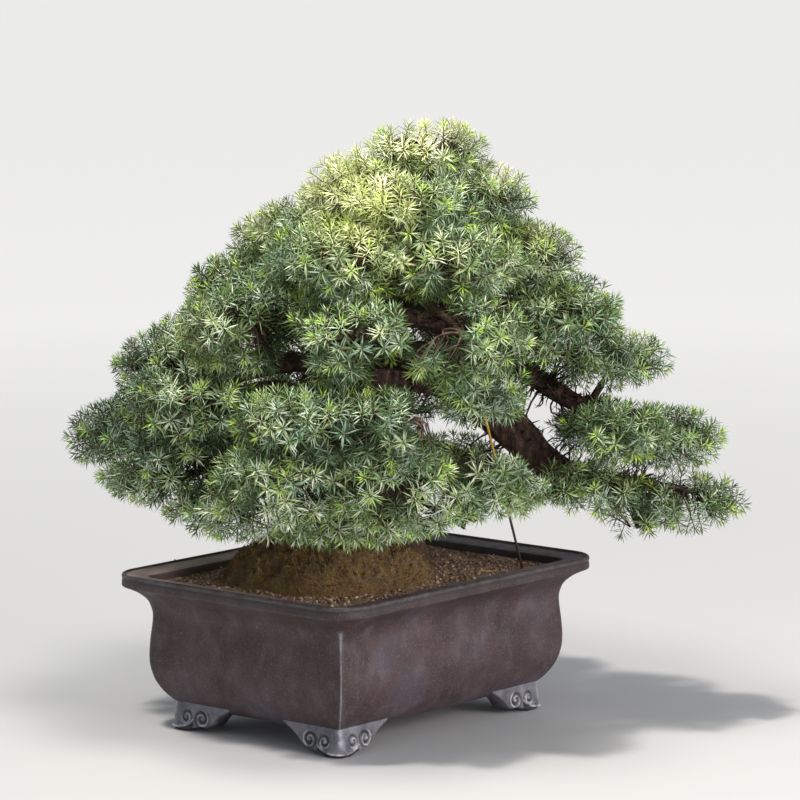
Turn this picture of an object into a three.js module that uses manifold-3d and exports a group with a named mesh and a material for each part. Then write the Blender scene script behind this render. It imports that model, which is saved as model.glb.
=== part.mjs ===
// A juniper bonsai in its rectangular clay pot.
// Units are millimetres, +Z is up and +X runs along the pot's long side.
// The pot is built round its own centre; the whole part is then moved so that
// the origin lies under the middle of its outline, on the surface it stands on.

import * as THREE from 'three';
import { mergeVertices } from 'three/addons/utils/BufferGeometryUtils.js';
import Module from 'manifold-3d';

const wasm = await Module();
wasm.setup();

// Driving dimensions of the pot
const POT_LENGTH = 365;
const POT_WIDTH = 282;
const POT_HEIGHT = 143;
const POT_CORNERS = [[1, 1], [-1, 1], [-1, -1], [1, -1]];
const CORNER_STEPS = 3;
// Each ring of the pot's wall: inset from the rim's outline, height, corner radius
const POT_OUTSIDE = [
  [58, 17.5, 4],
  [50, 20, 4],
  [41.5, 26.5, 4],
  [34.5, 35.5, 4],
  [29.2, 47, 4],
  [26.4, 62, 4],
  [26.8, 80, 4],
  [28.4, 102, 5],
  [26, 112, 9],
  [20.5, 119.5, 15],
  [12.5, 125.8, 22],
  [2, 131, 30],
  [0, 133, 32],
  [0, 141.2, 32],
  [1.2, POT_HEIGHT, 31],
  [3.8, POT_HEIGHT, 28.5],
  [5.6, 141.3, 27],
  [24, 139.4, 10],
];
const POT_INSIDE = [
  [26, 133, 8],
  [34, 112, 6],
  [37.4, 98, 5],
  [38.4, 46, 5],
  [48, 31.5, 5],
  [58, 27.5, 5],
];
const FLOOR_TOP = 27.5;
const DRAIN_HOLE_RADIUS = 11;
const DRAIN_HOLE_REACH = 70;
const DRAIN_HOLE_SIDES = 12;

// The scroll feet: where each foot's corner stands, and the outline of one arm,
// as distance along the pot's side and height
const FOOT_INSET = 42.7;
const FOOT_REACH = 66;
const FOOT_HEIGHT = 26;
const FOOT_THICKNESS = 15;
const FOOT_CORNER_RADIUS = 6;
const FOOT_ARM = [
  [0, 0],
  [13, 0],
  [22, 2.6],
  [31, 5],
  [38, 4.6],
  [43.5, 8.5],
  [49, 14],
  [56, 19],
  [FOOT_REACH, 24],
  [FOOT_REACH, FOOT_HEIGHT],
  [0, FOOT_HEIGHT],
];

// What lies in the pot: grit over the drain holes, then soil that swells a
// little towards the middle, its surface in rings at these shares of its edge
const CLEARANCE = 0.35;
const GRIT_TOP = 46;
const SOIL_LEVEL = 128;
const SOIL_SWELL = 5;
const SOIL_RELIEF = 1.1;
const SOIL_RINGS = [0.8, 0.42];

// The mossy mound at the tree's foot, and the shares of its rings from its edge
const MOUND_CENTRE = [-35, -22];
const MOUND_HALF_WIDTH = 88;
const MOUND_HALF_DEPTH = 92;
const MOUND_HEIGHT = 46;
const MOUND_SUNK = -6;
const MOUND_RELIEF = 1.8;
const MOUND_SIDES = 14;
const MOUND_RINGS = [1, 0.96, 0.8, 0.54, 0.26];

// The slotted screens over the drain holes
const SCREEN_SIDE = 34;
const SCREEN_THICKNESS = 1.6;
const SCREEN_SLOTS = 3;
const SCREEN_BAR = 2.4;

// The anchor wire runs under the pot and up through both holes; here is the
// half of its way from the pot's middle to its end over the roots
const WIRE_RADIUS = 1;
const WIRE_SIDES = 6;
const WIRE_HEIGHT = 16.1;
const WIRE_HALF = [
  [67, 0, 16.4],
  [DRAIN_HOLE_REACH, 0, 24],
  [DRAIN_HOLE_REACH, 0, 48],
  [DRAIN_HOLE_REACH, 0, 72],
  [52, 2, 92],
  [34, 6, 96],
];

// The tree's own axes are right, away and up, as seen from its front,
// which looks over one corner of the pot
const TREE_TURN = THREE.MathUtils.degToRad(-49.8);

// Points along the trunk: right, away, up, radius
const TRUNK = [
  [26, 0, 64, 13],
  [26, 0, 98, 29],
  [25, 0, 130, 40],
  [21, 0, 162, 34],
  [8, -2, 205, 28],
  [-14, -4, 252, 26],
  [-28, -6, 300, 23],
  [-16, -4, 345, 19],
  [22, 0, 380, 15.5],
  [54, 4, 412, 12.5],
  [68, 2, 455, 8.5],
  [66, 0, 508, 3.2],
];
// The three thick limbs, in the same form
const LIMBS = {
  low_limb: [
    [-26, -4, 296, 17],
    [30, 6, 318, 17],
    [86, 6, 308, 17],
    [128, 0, 274, 16.5],
    [170, -4, 236, 14],
    [214, -4, 218, 9],
    [258, 0, 216, 6],
    [292, 2, 208, 3],
  ],
  high_limb: [
    [20, 2, 372, 11],
    [66, 16, 366, 11],
    [112, 22, 346, 10],
    [156, 16, 314, 9],
    [200, 10, 288, 7],
    [244, 8, 280, 5],
    [282, 8, 268, 3],
  ],
  left_limb: [
    [-26, -6, 282, 13],
    [-70, 2, 296, 12],
    [-116, 6, 290, 10],
    [-160, 8, 276, 7],
    [-204, 10, 268, 3],
  ],
};
const TRUNK_SIDES = 9;
const TRUNK_STEPS = 12;
const TRUNK_FLUTES = 0.1;
const LIMB_SIDES = 5;
const LIMB_STEPS = 7;
const LIMB_FLUTES = 0.06;
// A branch is thicker the longer it is, arches by a share of its length, and is
// left out where its spray sits on its limb
const BRANCH_SIDES = 3;
const BRANCH_STEPS = 2;
const BRANCH_BASE = 2.6;
const BRANCH_TAPER = 0.03;
const BRANCH_MOST_OF_LIMB = 0.8;
const BRANCH_TIP_RADIUS = 2;
const BRANCH_ARCH = 0.1;
const BRANCH_SHORTEST = 0.5;

// Every leafy spray: right, away and up of its middle, half width and half height
// out to the needle tips, what carries it, and how far along that it branches off
const SPRAYS = [
  ['crown_top', 66, 0, 512, 52, 39, 'trunk', 1],
  ['crown_left', -6, -14, 487, 52, 33, 'trunk', 0.9],
  ['crown_right', 122, 2, 474, 50, 32, 'trunk', 0.9],
  ['crown_front', 52, -66, 464, 54, 32, 'trunk', 0.87],
  ['crown_back', 58, 64, 468, 54, 34, 'trunk', 0.87],
  ['shoulder_left', -68, -4, 440, 56, 34, 'trunk', 0.82],
  ['shoulder_left_front', -28, -100, 424, 56, 33, 'trunk', 0.8],
  ['shoulder_right_front', 96, -104, 424, 54, 33, 'trunk', 0.82],
  ['shoulder_right', 160, -4, 418, 52, 33, 'trunk', 0.84],
  ['shoulder_right_back', 122, 98, 418, 54, 34, 'trunk', 0.82],
  ['shoulder_back', 20, 122, 420, 56, 34, 'trunk', 0.8],
  ['shoulder_left_back', -70, 92, 428, 54, 34, 'trunk', 0.78],
  ['upper_left', -110, 0, 386, 54, 33, 'trunk', 0.74],
  ['upper_left_front', -98, -98, 368, 56, 33, 'trunk', 0.72],
  ['upper_front', -8, -162, 366, 55, 32, 'trunk', 0.72],
  ['upper_front_right', 98, -166, 368, 56, 32, 'trunk', 0.74],
  ['upper_right', 196, -30, 364, 50, 32, 'trunk', 0.76],
  ['upper_right_back', 190, 88, 366, 54, 33, 'trunk', 0.76],
  ['upper_back_right', 96, 168, 360, 56, 33, 'trunk', 0.72],
  ['upper_back_left', -16, 178, 364, 56, 33, 'trunk', 0.7],
  ['upper_left_back', -118, 114, 370, 56, 33, 'trunk', 0.7],
  ['middle_left', -160, -6, 324, 52, 30, 'left_limb', 0.45],
  ['middle_left_front', -146, -112, 304, 56, 31, 'trunk', 0.6],
  ['middle_front_left', -52, -182, 298, 55, 29, 'trunk', 0.56],
  ['middle_front', 48, -206, 300, 52, 27, 'trunk', 0.56],
  ['middle_front_right', 112, -146, 318, 50, 27, 'trunk', 0.6],
  ['middle_back_right', 102, 200, 304, 56, 32, 'trunk', 0.6],
  ['middle_back_left', -24, 210, 306, 56, 32, 'trunk', 0.58],
  ['middle_left_back', -146, 128, 310, 56, 32, 'trunk', 0.58],
  ['low_tip_left', -212, 12, 262, 55, 27, 'left_limb', 1],
  ['low_left_front', -158, -96, 254, 53, 26, 'trunk', 0.5],
  ['low_front_left', -76, -176, 246, 54, 27, 'trunk', 0.48],
  ['low_front', 28, -188, 246, 52, 26, 'trunk', 0.48],
  ['low_front_right', 122, -124, 250, 50, 26, 'trunk', 0.48],
  ['low_left_back', -178, 98, 258, 56, 30, 'left_limb', 0.6],
  ['low_back_left', -84, 190, 254, 56, 31, 'trunk', 0.5],
  ['low_back', 26, 208, 250, 56, 31, 'trunk', 0.5],
  ['skirt_left', -180, -52, 222, 48, 24, 'trunk', 0.45],
  ['skirt_left_front', -112, -116, 208, 54, 27, 'trunk', 0.42],
  ['skirt_front', -14, -134, 204, 54, 26, 'trunk', 0.4],
  ['skirt_front_right', 82, -136, 206, 51, 25, 'trunk', 0.4],
  ['skirt_right', 138, -70, 214, 42, 24, 'trunk', 0.42],
  ['skirt_back_left', -98, 124, 214, 54, 27, 'trunk', 0.42],
  ['skirt_back_right', 92, 132, 212, 54, 27, 'trunk', 0.42],
  ['limb_top', 238, 14, 324, 48, 27, 'high_limb', 0.7],
  ['limb_inner', 232, -58, 268, 46, 29, 'high_limb', 0.72],
  ['limb_far', 288, 18, 258, 50, 31, 'high_limb', 1],
  ['limb_behind', 222, 72, 252, 48, 30, 'high_limb', 0.76],
  ['limb_low', 224, -30, 220, 48, 28, 'low_limb', 0.72],
  ['limb_tip', 302, -6, 207, 50, 26, 'low_limb', 1],
  ['limb_drop', 252, -28, 178, 30, 19, 'low_limb', 0.8],
];

// One tuft: a bud whose faces are drawn out into needles, and a root below it
const NEEDLE_LENGTH = 13.5;
const NEEDLE_SPREAD = 0.12;
const NEEDLE_RISES = { top: 1.45, upper: 0.85, lower: 0.2 };
const BUD_SIDES = 3;
const BUD_RADIUS = 2.1;
const BUD_TOP_RADIUS = 1.5;
const BUD_HEIGHT = 2.6;
const BUD_ROOT = 7;
const BUD_STAND = 1.6;
const TIP_REACH = 15.5;

// A spray's slim core is a star of twigs, with notches between them, that
// droops outwards; its heights are shares of its half height
const TWIGS = 5;
const NOTCH = 0.4;
const CORE_RISES = { top: 1, underside: -0.7, tip: -0.1, notch: 0.1 };
const SPRAY_DROOP = 0.3;
const DROOP_FULL_AT = 100;
// Where tufts stand on it: turned from outwards, and share of the way to a tip
const TUFT_SEATS = [
  [0, 1],
  [72, 1],
  [-72, 1],
  [0, 0.08],
  [144, 1],
  [-144, 1],
  [36, 0.5],
  [-90, 0.5],
];
const TUFTS_KEPT = 6;
const TUFTS_ON_SMALL = 4;
const SMALL_SPRAY = 40;
const TUFT_GAP = 0.3;
const SEED = 2468;

// The cane stake, from its foot in the soil to its top
const STAKE_FOOT = [160, 46, 92];
const STAKE_TOP = [112, -28, 292];
const STAKE_RADIUS = 1.15;
const STAKE_SIDES = 8;

const paint = (name, color, roughness, metalness = 0) => new THREE.MeshStandardMaterial({
  name, color, roughness, metalness,
});
const fired_clay = paint('fired_clay', 0x4b4044, 0.62);
const coarse_grit = paint('coarse_grit', 0x8a7a64, 0.95);
const potting_soil = paint('potting_soil', 0x3a2a1e, 0.95);
const moss = paint('moss', 0x5a5026, 0.95);
const bark = paint('bark', 0x3f2c24, 0.9);
const cane = paint('cane', 0xc89b3a, 0.5);
const screen_plastic = paint('screen_plastic', 0x2b2d2c, 0.6);
const wire_metal = paint('wire_metal', 0x8c8f92, 0.4, 1);
const needles = paint('needles', 0x4c7350, 0.7);

// A small seeded generator, so that every run draws the same numbers
function seededRandom(seed) {
  let state = seed;
  return () => {
    state = (Math.imul(state, 1664525) + 1013904223) >>> 0;
    return state / 2 ** 32;
  };
}

// A closed surface through rings of points, with a fan at each end
function loft(rings) {
  const sides = rings[0].length;
  const positions = rings.flat();
  const index = [];
  for (let r = 0; r < rings.length - 1; r += 1) {
    for (let s = 0; s < sides; s += 1) {
      const a = r * sides + s;
      const b = r * sides + (s + 1) % sides;
      index.push(a, b, b + sides, a, b + sides, a + sides);
    }
  }
  for (const end of [0, rings.length - 1]) {
    const middle = positions.length;
    const centre = new THREE.Vector3();
    rings[end].forEach((point) => centre.addScaledVector(point, 1 / sides));
    positions.push(centre);
    for (let s = 0; s < sides; s += 1) {
      const a = end * sides + s;
      const b = end * sides + (s + 1) % sides;
      index.push(...(end === 0 ? [middle, b, a] : [middle, a, b]));
    }
  }
  const geometry = new THREE.BufferGeometry().setFromPoints(positions);
  geometry.setIndex(index);
  return geometry;
}

// Closed geometry as a solid that can be joined and cut; where the geometry has
// been mirrored, its triangles are turned round
function solidOf(geometry, mirrored = false) {
  const bare = geometry.clone();
  bare.deleteAttribute('normal');
  bare.deleteAttribute('uv');
  const merged = mergeVertices(bare, 1e-4);
  const triVerts = Uint32Array.from(merged.index.array);
  if (mirrored) {
    triVerts.reverse();
  }
  const vertProperties = Float32Array.from(merged.attributes.position.array);
  return new wasm.Manifold(new wasm.Mesh({ numProp: 3, vertProperties, triVerts }));
}

function geometryOf(solid) {
  const { vertProperties, triVerts } = solid.getMesh();
  const geometry = new THREE.BufferGeometry();
  geometry.setAttribute('position', new THREE.BufferAttribute(vertProperties, 3));
  geometry.setIndex(new THREE.BufferAttribute(triVerts, 1));
  geometry.computeVertexNormals();
  return geometry;
}

function joined(solids) {
  return solids.reduce((whole, piece) => whole.add(piece));
}

// The largest body of a solid, without the loose scraps that cutting leaves
function largestBody(solid) {
  const bodies = solid.decompose();
  return bodies.reduce((best, body) => (body.volume() > best.volume() ? body : best));
}

// A rectangle with round corners, at an inset from the rim's outline
function potRing([inset, height, radius]) {
  const points = [];
  const reachX = POT_LENGTH / 2 - inset - radius;
  const reachY = POT_WIDTH / 2 - inset - radius;
  POT_CORNERS.forEach(([signX, signY], corner) => {
    for (let step = 0; step <= CORNER_STEPS; step += 1) {
      const angle = (corner + step / CORNER_STEPS) * Math.PI / 2;
      points.push(new THREE.Vector3(
        signX * reachX + radius * Math.cos(angle),
        signY * reachY + radius * Math.sin(angle),
        height,
      ));
    }
  });
  return points;
}

// One arm of a foot along +X: its outline, thick towards +Y
function footArm() {
  const outline = new THREE.Shape(FOOT_ARM.map(([along, up]) => new THREE.Vector2(along, up)));
  const arm = new THREE.ExtrudeGeometry(outline, { depth: FOOT_THICKNESS, bevelEnabled: false });
  return arm.rotateX(Math.PI / 2).translate(0, FOOT_THICKNESS, 0);
}

// The space of a foot seen from above: a square with one round corner
function footBlock() {
  const radius = FOOT_CORNER_RADIUS;
  const plan = new THREE.Shape();
  plan.moveTo(FOOT_REACH, 0);
  plan.lineTo(FOOT_REACH, FOOT_REACH);
  plan.lineTo(0, FOOT_REACH);
  plan.lineTo(0, radius);
  plan.absarc(radius, radius, radius, Math.PI, Math.PI * 1.5);
  return new THREE.ExtrudeGeometry(plan, {
    depth: FOOT_HEIGHT, bevelEnabled: false, curveSegments: 4,
  });
}

// A foot has two like arms round the pot's corner, and is mirrored to its place
function makeFoot(signX, signY) {
  const across = footArm().rotateZ(Math.PI / 2).scale(-1, 1, 1);
  const shape = solidOf(footArm()).add(solidOf(across, true)).intersect(solidOf(footBlock()));
  const geometry = geometryOf(shape).scale(-signX, -signY, 1);
  geometry.translate(
    signX * (POT_LENGTH / 2 - FOOT_INSET),
    signY * (POT_WIDTH / 2 - FOOT_INSET),
    0,
  );
  return solidOf(geometry, signX * signY < 0);
}

function makeDrainHole(side) {
  const height = 2 * FLOOR_TOP;
  const drum = new THREE.CylinderGeometry(
    DRAIN_HOLE_RADIUS,
    DRAIN_HOLE_RADIUS,
    height,
    DRAIN_HOLE_SIDES,
  );
  return solidOf(drum.rotateX(Math.PI / 2).translate(side * DRAIN_HOLE_REACH, 0, height / 2));
}

function makePot() {
  const wall = solidOf(loft([...POT_OUTSIDE, ...POT_INSIDE].map(potRing)));
  const feet = POT_CORNERS.map(([signX, signY]) => makeFoot(signX, signY));
  return wall.add(joined(feet)).subtract(joined([-1, 1].map(makeDrainHole)));
}

// The gentle unevenness of a surface of soil or moss
function relief(x, y, size) {
  const broad = Math.sin(x / 17 + 1.3) * Math.cos(y / 13 - 0.7);
  return size * (broad + 0.5 * Math.sin((x + 2 * y) / 9));
}

// The pot's inside, at a clearance from its wall, between two heights
function insideRings(low, high) {
  const wall = [...POT_INSIDE].reverse();
  const ringAt = (height) => {
    const above = wall.findIndex((ring) => ring[1] >= height);
    const [upper, lower] = [wall[above], wall[above - 1]];
    const share = (height - lower[1]) / (upper[1] - lower[1]);
    const inset = THREE.MathUtils.lerp(lower[0], upper[0], share);
    const radius = THREE.MathUtils.lerp(lower[2], upper[2], share);
    return potRing([inset + CLEARANCE, height, radius]);
  };
  const between = wall.map((ring) => ring[1]).filter((height) => height > low && height < high);
  return [low, ...between, high].map(ringAt);
}

// The soil up to its surface, which may be lifted to cut room for what lies on it
function makeSoil(lift) {
  const rings = insideRings(GRIT_TOP + CLEARANCE, SOIL_LEVEL);
  const edge = rings.at(-1);
  for (const share of SOIL_RINGS) {
    rings.push(edge.map((point) => {
      const x = point.x * share;
      const y = point.y * share;
      const swell = SOIL_SWELL * (1 - share ** 2) + relief(x, y, SOIL_RELIEF);
      return new THREE.Vector3(x, y, SOIL_LEVEL + swell);
    }));
  }
  const surface = rings.slice(-1 - SOIL_RINGS.length).flat();
  surface.forEach((point) => point.setZ(point.z + lift));
  return solidOf(loft(rings));
}

function makeGrit() {
  return solidOf(loft(insideRings(FLOOR_TOP + CLEARANCE, GRIT_TOP)));
}

// The plate of a screen, which may be grown to cut its pocket in the grit
function screenPlate(side, grow) {
  const width = SCREEN_SIDE + 2 * grow;
  const plate = new THREE.BoxGeometry(width, width, SCREEN_THICKNESS + 2 * grow);
  const middle = FLOOR_TOP + CLEARANCE + SCREEN_THICKNESS / 2;
  return solidOf(plate.translate(side * DRAIN_HOLE_REACH, 0, middle));
}

function makeScreen(side) {
  const pitch = (SCREEN_SIDE - SCREEN_BAR) / SCREEN_SLOTS;
  const slots = Array.from({ length: SCREEN_SLOTS }, (_, i) => {
    const slot = new THREE.BoxGeometry(
      pitch - SCREEN_BAR,
      SCREEN_SIDE - 2 * SCREEN_BAR,
      4 * SCREEN_THICKNESS,
    );
    const across = (i - (SCREEN_SLOTS - 1) / 2) * pitch;
    return solidOf(slot.translate(side * DRAIN_HOLE_REACH + across, 0, FLOOR_TOP + CLEARANCE));
  });
  return screenPlate(side, 0).subtract(joined(slots));
}

// Right, away and up of the tree as a point of the part
function planted(right, away, up) {
  return new THREE.Vector3(right, away, up).applyAxisAngle(new THREE.Vector3(0, 0, 1), TREE_TURN);
}

// A tapered, round or fluted limb along points with radii, its ends closed
function limb(points, radii, sides, flutes, grow) {
  const last = points.length - 1;
  const frames = new THREE.CatmullRomCurve3(points).computeFrenetFrames(last, false);
  const rings = points.map((point, i) => {
    const centre = point.clone();
    if (i === 0) {
      centre.addScaledVector(frames.tangents[i], -grow);
    }
    if (i === last) {
      centre.addScaledVector(frames.tangents[i], grow);
    }
    return Array.from({ length: sides }, (_, s) => {
      const angle = (s / sides) * Math.PI * 2;
      const radius = radii[i] * (1 + flutes * Math.cos(3 * angle + i / 2)) + grow;
      return centre.clone()
        .addScaledVector(frames.normals[i], radius * Math.cos(angle))
        .addScaledVector(frames.binormals[i], radius * Math.sin(angle));
    });
  });
  return solidOf(loft(rings));
}

function pathOf(rows) {
  return new THREE.CatmullRomCurve3(rows.map(([right, away, up]) => planted(right, away, up)));
}

function radiusAlong(rows, share) {
  const place = share * (rows.length - 1);
  const i = Math.min(Math.floor(place), rows.length - 2);
  return THREE.MathUtils.lerp(rows[i][3], rows[i + 1][3], place - i);
}

// The shares of the way along a curve at which its rings stand
function sharesOf(steps) {
  return Array.from({ length: steps + 1 }, (_, i) => i / steps);
}

function limbFromRows(rows, sides, steps, flutes, grow) {
  const curve = pathOf(rows);
  const points = sharesOf(steps).map((share) => curve.getPoint(share));
  const radii = sharesOf(steps).map((share) => radiusAlong(rows, share));
  return limb(points, radii, sides, flutes, grow);
}

// The branches of one spray, none or one: it leaves its limb upwards and bends
// down to the spray
function branchesOf([, right, away, up, halfWidth, , carrier, share], grow) {
  const rows = carrier === 'trunk' ? TRUNK : LIMBS[carrier];
  const start = pathOf(rows).getPoint(share);
  const end = planted(right, away, up);
  const length = start.distanceTo(end);
  if (length < halfWidth * BRANCH_SHORTEST) {
    return [];
  }
  const middle = start.clone().lerp(end, 0.5);
  middle.z += length * BRANCH_ARCH;
  const curve = new THREE.QuadraticBezierCurve3(start, middle, end);
  const most = radiusAlong(rows, share) * BRANCH_MOST_OF_LIMB;
  const thick = Math.min(BRANCH_BASE + length * BRANCH_TAPER, most);
  const points = sharesOf(BRANCH_STEPS).map((along) => curve.getPoint(along));
  const radii = sharesOf(BRANCH_STEPS).map((along) => (
    THREE.MathUtils.lerp(thick, BRANCH_TIP_RADIUS, along)
  ));
  return [limb(points, radii, BRANCH_SIDES, 0, grow)];
}

// The trunk, its limbs and its branches, grown as one piece
function makeWood(grow) {
  return joined([
    limbFromRows(TRUNK, TRUNK_SIDES, TRUNK_STEPS, TRUNK_FLUTES, grow),
    ...Object.values(LIMBS).map((rows) => (
      limbFromRows(rows, LIMB_SIDES, LIMB_STEPS, LIMB_FLUTES, grow)
    )),
    ...SPRAYS.flatMap((row) => branchesOf(row, grow)),
  ]);
}

// The mossy mound: steep at its edge, flat on top, with lumps
function makeMound() {
  const rings = MOUND_RINGS.map((share) => {
    const rise = share === 1 ? MOUND_SUNK : MOUND_HEIGHT * (1 - share ** 2.6) ** 0.7;
    return Array.from({ length: MOUND_SIDES }, (_, s) => {
      const angle = (s / MOUND_SIDES) * Math.PI * 2;
      const lobes = 0.05 * Math.sin(3 * angle) + 0.04 * Math.cos(5 * angle + 1);
      const reach = share * (1 + lobes);
      const right = MOUND_CENTRE[0] + MOUND_HALF_WIDTH * reach * Math.cos(angle);
      const away = MOUND_CENTRE[1] + MOUND_HALF_DEPTH * reach * Math.sin(angle);
      return planted(right, away, SOIL_LEVEL + rise + relief(right, away, MOUND_RELIEF));
    });
  });
  return solidOf(loft(rings));
}

function makeStake(grow) {
  const low = planted(...STAKE_FOOT);
  const high = planted(...STAKE_TOP);
  const points = [low, low.clone().lerp(high, 0.5), high];
  return limb(points, points.map(() => STAKE_RADIUS), STAKE_SIDES, 0, grow);
}

function makeWire(grow) {
  const half = WIRE_HALF.map(([x, y, z]) => new THREE.Vector3(x, y, z));
  const other = WIRE_HALF.map(([x, y, z]) => new THREE.Vector3(-x, y, z)).reverse();
  const points = [...other, new THREE.Vector3(0, 0, WIRE_HEIGHT), ...half];
  return limb(points, points.map(() => WIRE_RADIUS), WIRE_SIDES, 0, grow);
}

// The frame of a spray: its middle, which way is outwards, and how it droops
function sprayFrame([, right, away, up, halfWidth, halfHeight]) {
  const centre = planted(right, away, up);
  const outward = centre.clone().sub(planted(TRUNK[0][0], TRUNK[0][1], up));
  const lean = SPRAY_DROOP * Math.min(1, outward.length() / DROOP_FULL_AT);
  const axis = new THREE.Vector3(-outward.y, outward.x, 0).normalize();
  const turn = new THREE.Quaternion().setFromAxisAngle(axis, lean);
  const reach = halfWidth - TIP_REACH;
  const semi = new THREE.Vector3(reach, reach, halfHeight - TIP_REACH);
  return { centre, turn, semi, heading: Math.atan2(outward.y, outward.x) };
}

// A point of the core: turned from outwards, share of the way out, height share
function onCore({ centre, turn, semi, heading }, aside, reach, rise) {
  const angle = heading + aside;
  return new THREE.Vector3(Math.cos(angle) * reach, Math.sin(angle) * reach, rise)
    .multiply(semi).applyQuaternion(turn).add(centre);
}

function makeCore(frame) {
  const points = [
    onCore(frame, 0, 0, CORE_RISES.top),
    onCore(frame, 0, 0, CORE_RISES.underside),
  ];
  const index = [];
  const count = 2 * TWIGS;
  for (let i = 0; i < count; i += 1) {
    const aside = (i / count) * Math.PI * 2;
    const here = 2 + i;
    const next = 2 + (i + 1) % count;
    points.push(i % 2 === 0
      ? onCore(frame, aside, 1, CORE_RISES.tip)
      : onCore(frame, aside, NOTCH, CORE_RISES.notch));
    index.push(0, here, next, 1, next, here);
  }
  const geometry = new THREE.BufferGeometry().setFromPoints(points);
  geometry.setIndex(index);
  return solidOf(geometry);
}

// A bud, with a needle drawn out of each of its upper faces
function makeTuft(place, direction, random) {
  const at = (radius, angle, up) => (
    new THREE.Vector3(radius * Math.cos(angle), radius * Math.sin(angle), up)
  );
  const spin = random() * Math.PI * 2;
  const turned = (share) => spin + (share / BUD_SIDES) * Math.PI * 2;
  const sides = Array.from({ length: BUD_SIDES }, (_, s) => s);
  const top = sides.map((s) => at(BUD_TOP_RADIUS, turned(s), BUD_HEIGHT));
  const ring = sides.map((s) => at(BUD_RADIUS, turned(s + 0.5), 0));
  const root = at(0, 0, -BUD_ROOT);
  const faces = [];
  const spread = () => (random() * 2 - 1) * NEEDLE_SPREAD;
  const needleOn = (a, b, c, rise) => {
    const middle = a.clone().add(b).add(c).divideScalar(3);
    const angle = Math.atan2(middle.y, middle.x) + spread();
    const slope = rise + spread();
    const reach = NEEDLE_LENGTH * (0.9 + 0.15 * random());
    const tip = at(reach * Math.cos(slope), angle, reach * Math.sin(slope)).add(middle);
    faces.push(a, b, tip, b, c, tip, c, a, tip);
  };
  needleOn(...top, NEEDLE_RISES.top);
  for (const s of sides) {
    const next = (s + 1) % BUD_SIDES;
    needleOn(top[s], ring[s], top[next], NEEDLE_RISES.upper);
    needleOn(ring[s], ring[next], top[next], NEEDLE_RISES.lower);
    faces.push(ring[next], ring[s], root);
  }
  const turn = new THREE.Quaternion().setFromUnitVectors(new THREE.Vector3(0, 0, 1), direction);
  const geometry = new THREE.BufferGeometry().setFromPoints(faces);
  return solidOf(geometry.applyQuaternion(turn).translate(place.x, place.y, place.z));
}

// A tuft on one seat of a spray: level out of the tips, upwards out of the middle
function tuftOnSeat({ frame }, [aside, reach], random) {
  const onTip = reach === 1;
  const angle = THREE.MathUtils.degToRad(aside) + (random() - 0.5) * (1 - reach);
  const surface = onTip ? CORE_RISES.tip : 1.02 - reach;
  const slope = onTip ? 0.1 + 0.3 * random() : 2.5;
  const heading = frame.heading + angle;
  const direction = new THREE.Vector3(Math.cos(heading), Math.sin(heading), slope).normalize();
  const place = onCore(frame, angle, reach, surface).addScaledVector(direction, BUD_STAND);
  return makeTuft(place, direction, random);
}

// Every spray starts as its core; tufts are then added in turn, each only where
// it stays clear of the wood and of the other sprays
function makeSprays(wood, woodHole, others) {
  const random = seededRandom(SEED);
  const sprays = SPRAYS.map((row) => {
    const frame = sprayFrame(row);
    const [name, , , , halfWidth] = row;
    const most = halfWidth < SMALL_SPRAY ? TUFTS_ON_SMALL : TUFTS_KEPT;
    return { name, frame, halfWidth, solid: makeCore(frame).subtract(woodHole), tufts: 0, most };
  });
  const clearOf = (tuft, solid) => tuft.minGap(solid, 1) > TUFT_GAP;
  for (const seat of TUFT_SEATS) {
    for (const spray of sprays.filter(({ tufts, most }) => tufts < most)) {
      const tuft = tuftOnSeat(spray, seat, random);
      const near = sprays.filter((other) => {
        const apart = other.frame.centre.distanceTo(spray.frame.centre);
        return other !== spray && apart < other.halfWidth + spray.halfWidth;
      });
      const neighbours = [wood, ...others, ...near.map(({ solid }) => solid)];
      if (neighbours.every((solid) => clearOf(tuft, solid))) {
        spray.solid = spray.solid.add(tuft);
        spray.tufts += 1;
      }
    }
  }
  return sprays;
}

const group = new THREE.Group();

function place(name, solid, material) {
  const mesh = new THREE.Mesh(geometryOf(largestBody(solid)), material);
  mesh.name = name;
  group.add(mesh);
}

const pot = makePot();
const wood = makeWood(0);
const woodHole = makeWood(CLEARANCE);
const stake = makeStake(0);
const wireHole = makeWire(CLEARANCE);
const screenPockets = joined([-1, 1].map((side) => screenPlate(side, CLEARANCE)));
const mound = makeMound().subtract(makeSoil(CLEARANCE)).subtract(woodHole);

place('pot', pot, fired_clay);
place('drainage_grit', makeGrit().subtract(screenPockets).subtract(wireHole), coarse_grit);
place('soil', makeSoil(0).subtract(joined([woodHole, makeStake(CLEARANCE), wireHole])), potting_soil);
place('moss_mound', mound, moss);
place('trunk', wood, bark);
place('cane_stake', stake, cane);
place('anchor_wire', makeWire(0), wire_metal);
place('drainage_screen_1', makeScreen(-1), screen_plastic);
place('drainage_screen_2', makeScreen(1), screen_plastic);
for (const { name, solid } of makeSprays(wood, woodHole, [pot, stake, mound])) {
  place(`spray_${name}`, solid, needles);
}

// The origin goes under the middle of the outline
const outline = new THREE.Box3().setFromObject(group);
const middle = outline.getCenter(new THREE.Vector3());
group.position.set(-middle.x, -middle.y, -outline.min.z);
group.updateMatrixWorld(true);

export default group;
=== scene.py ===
# %% [markdown]
# # A needle juniper bonsai in its scroll-footed clay pot
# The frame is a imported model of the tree: a pot, soil, a mossy mound, wood, and
# fifty-one sprays of needles, each a plain faceted solid. This lesson dresses
# it. Every shape is worked out with numpy as whole arrays of points, in
# millimetres from the middle of the pot, and turned to metres once, when it
# becomes a mesh.

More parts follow.
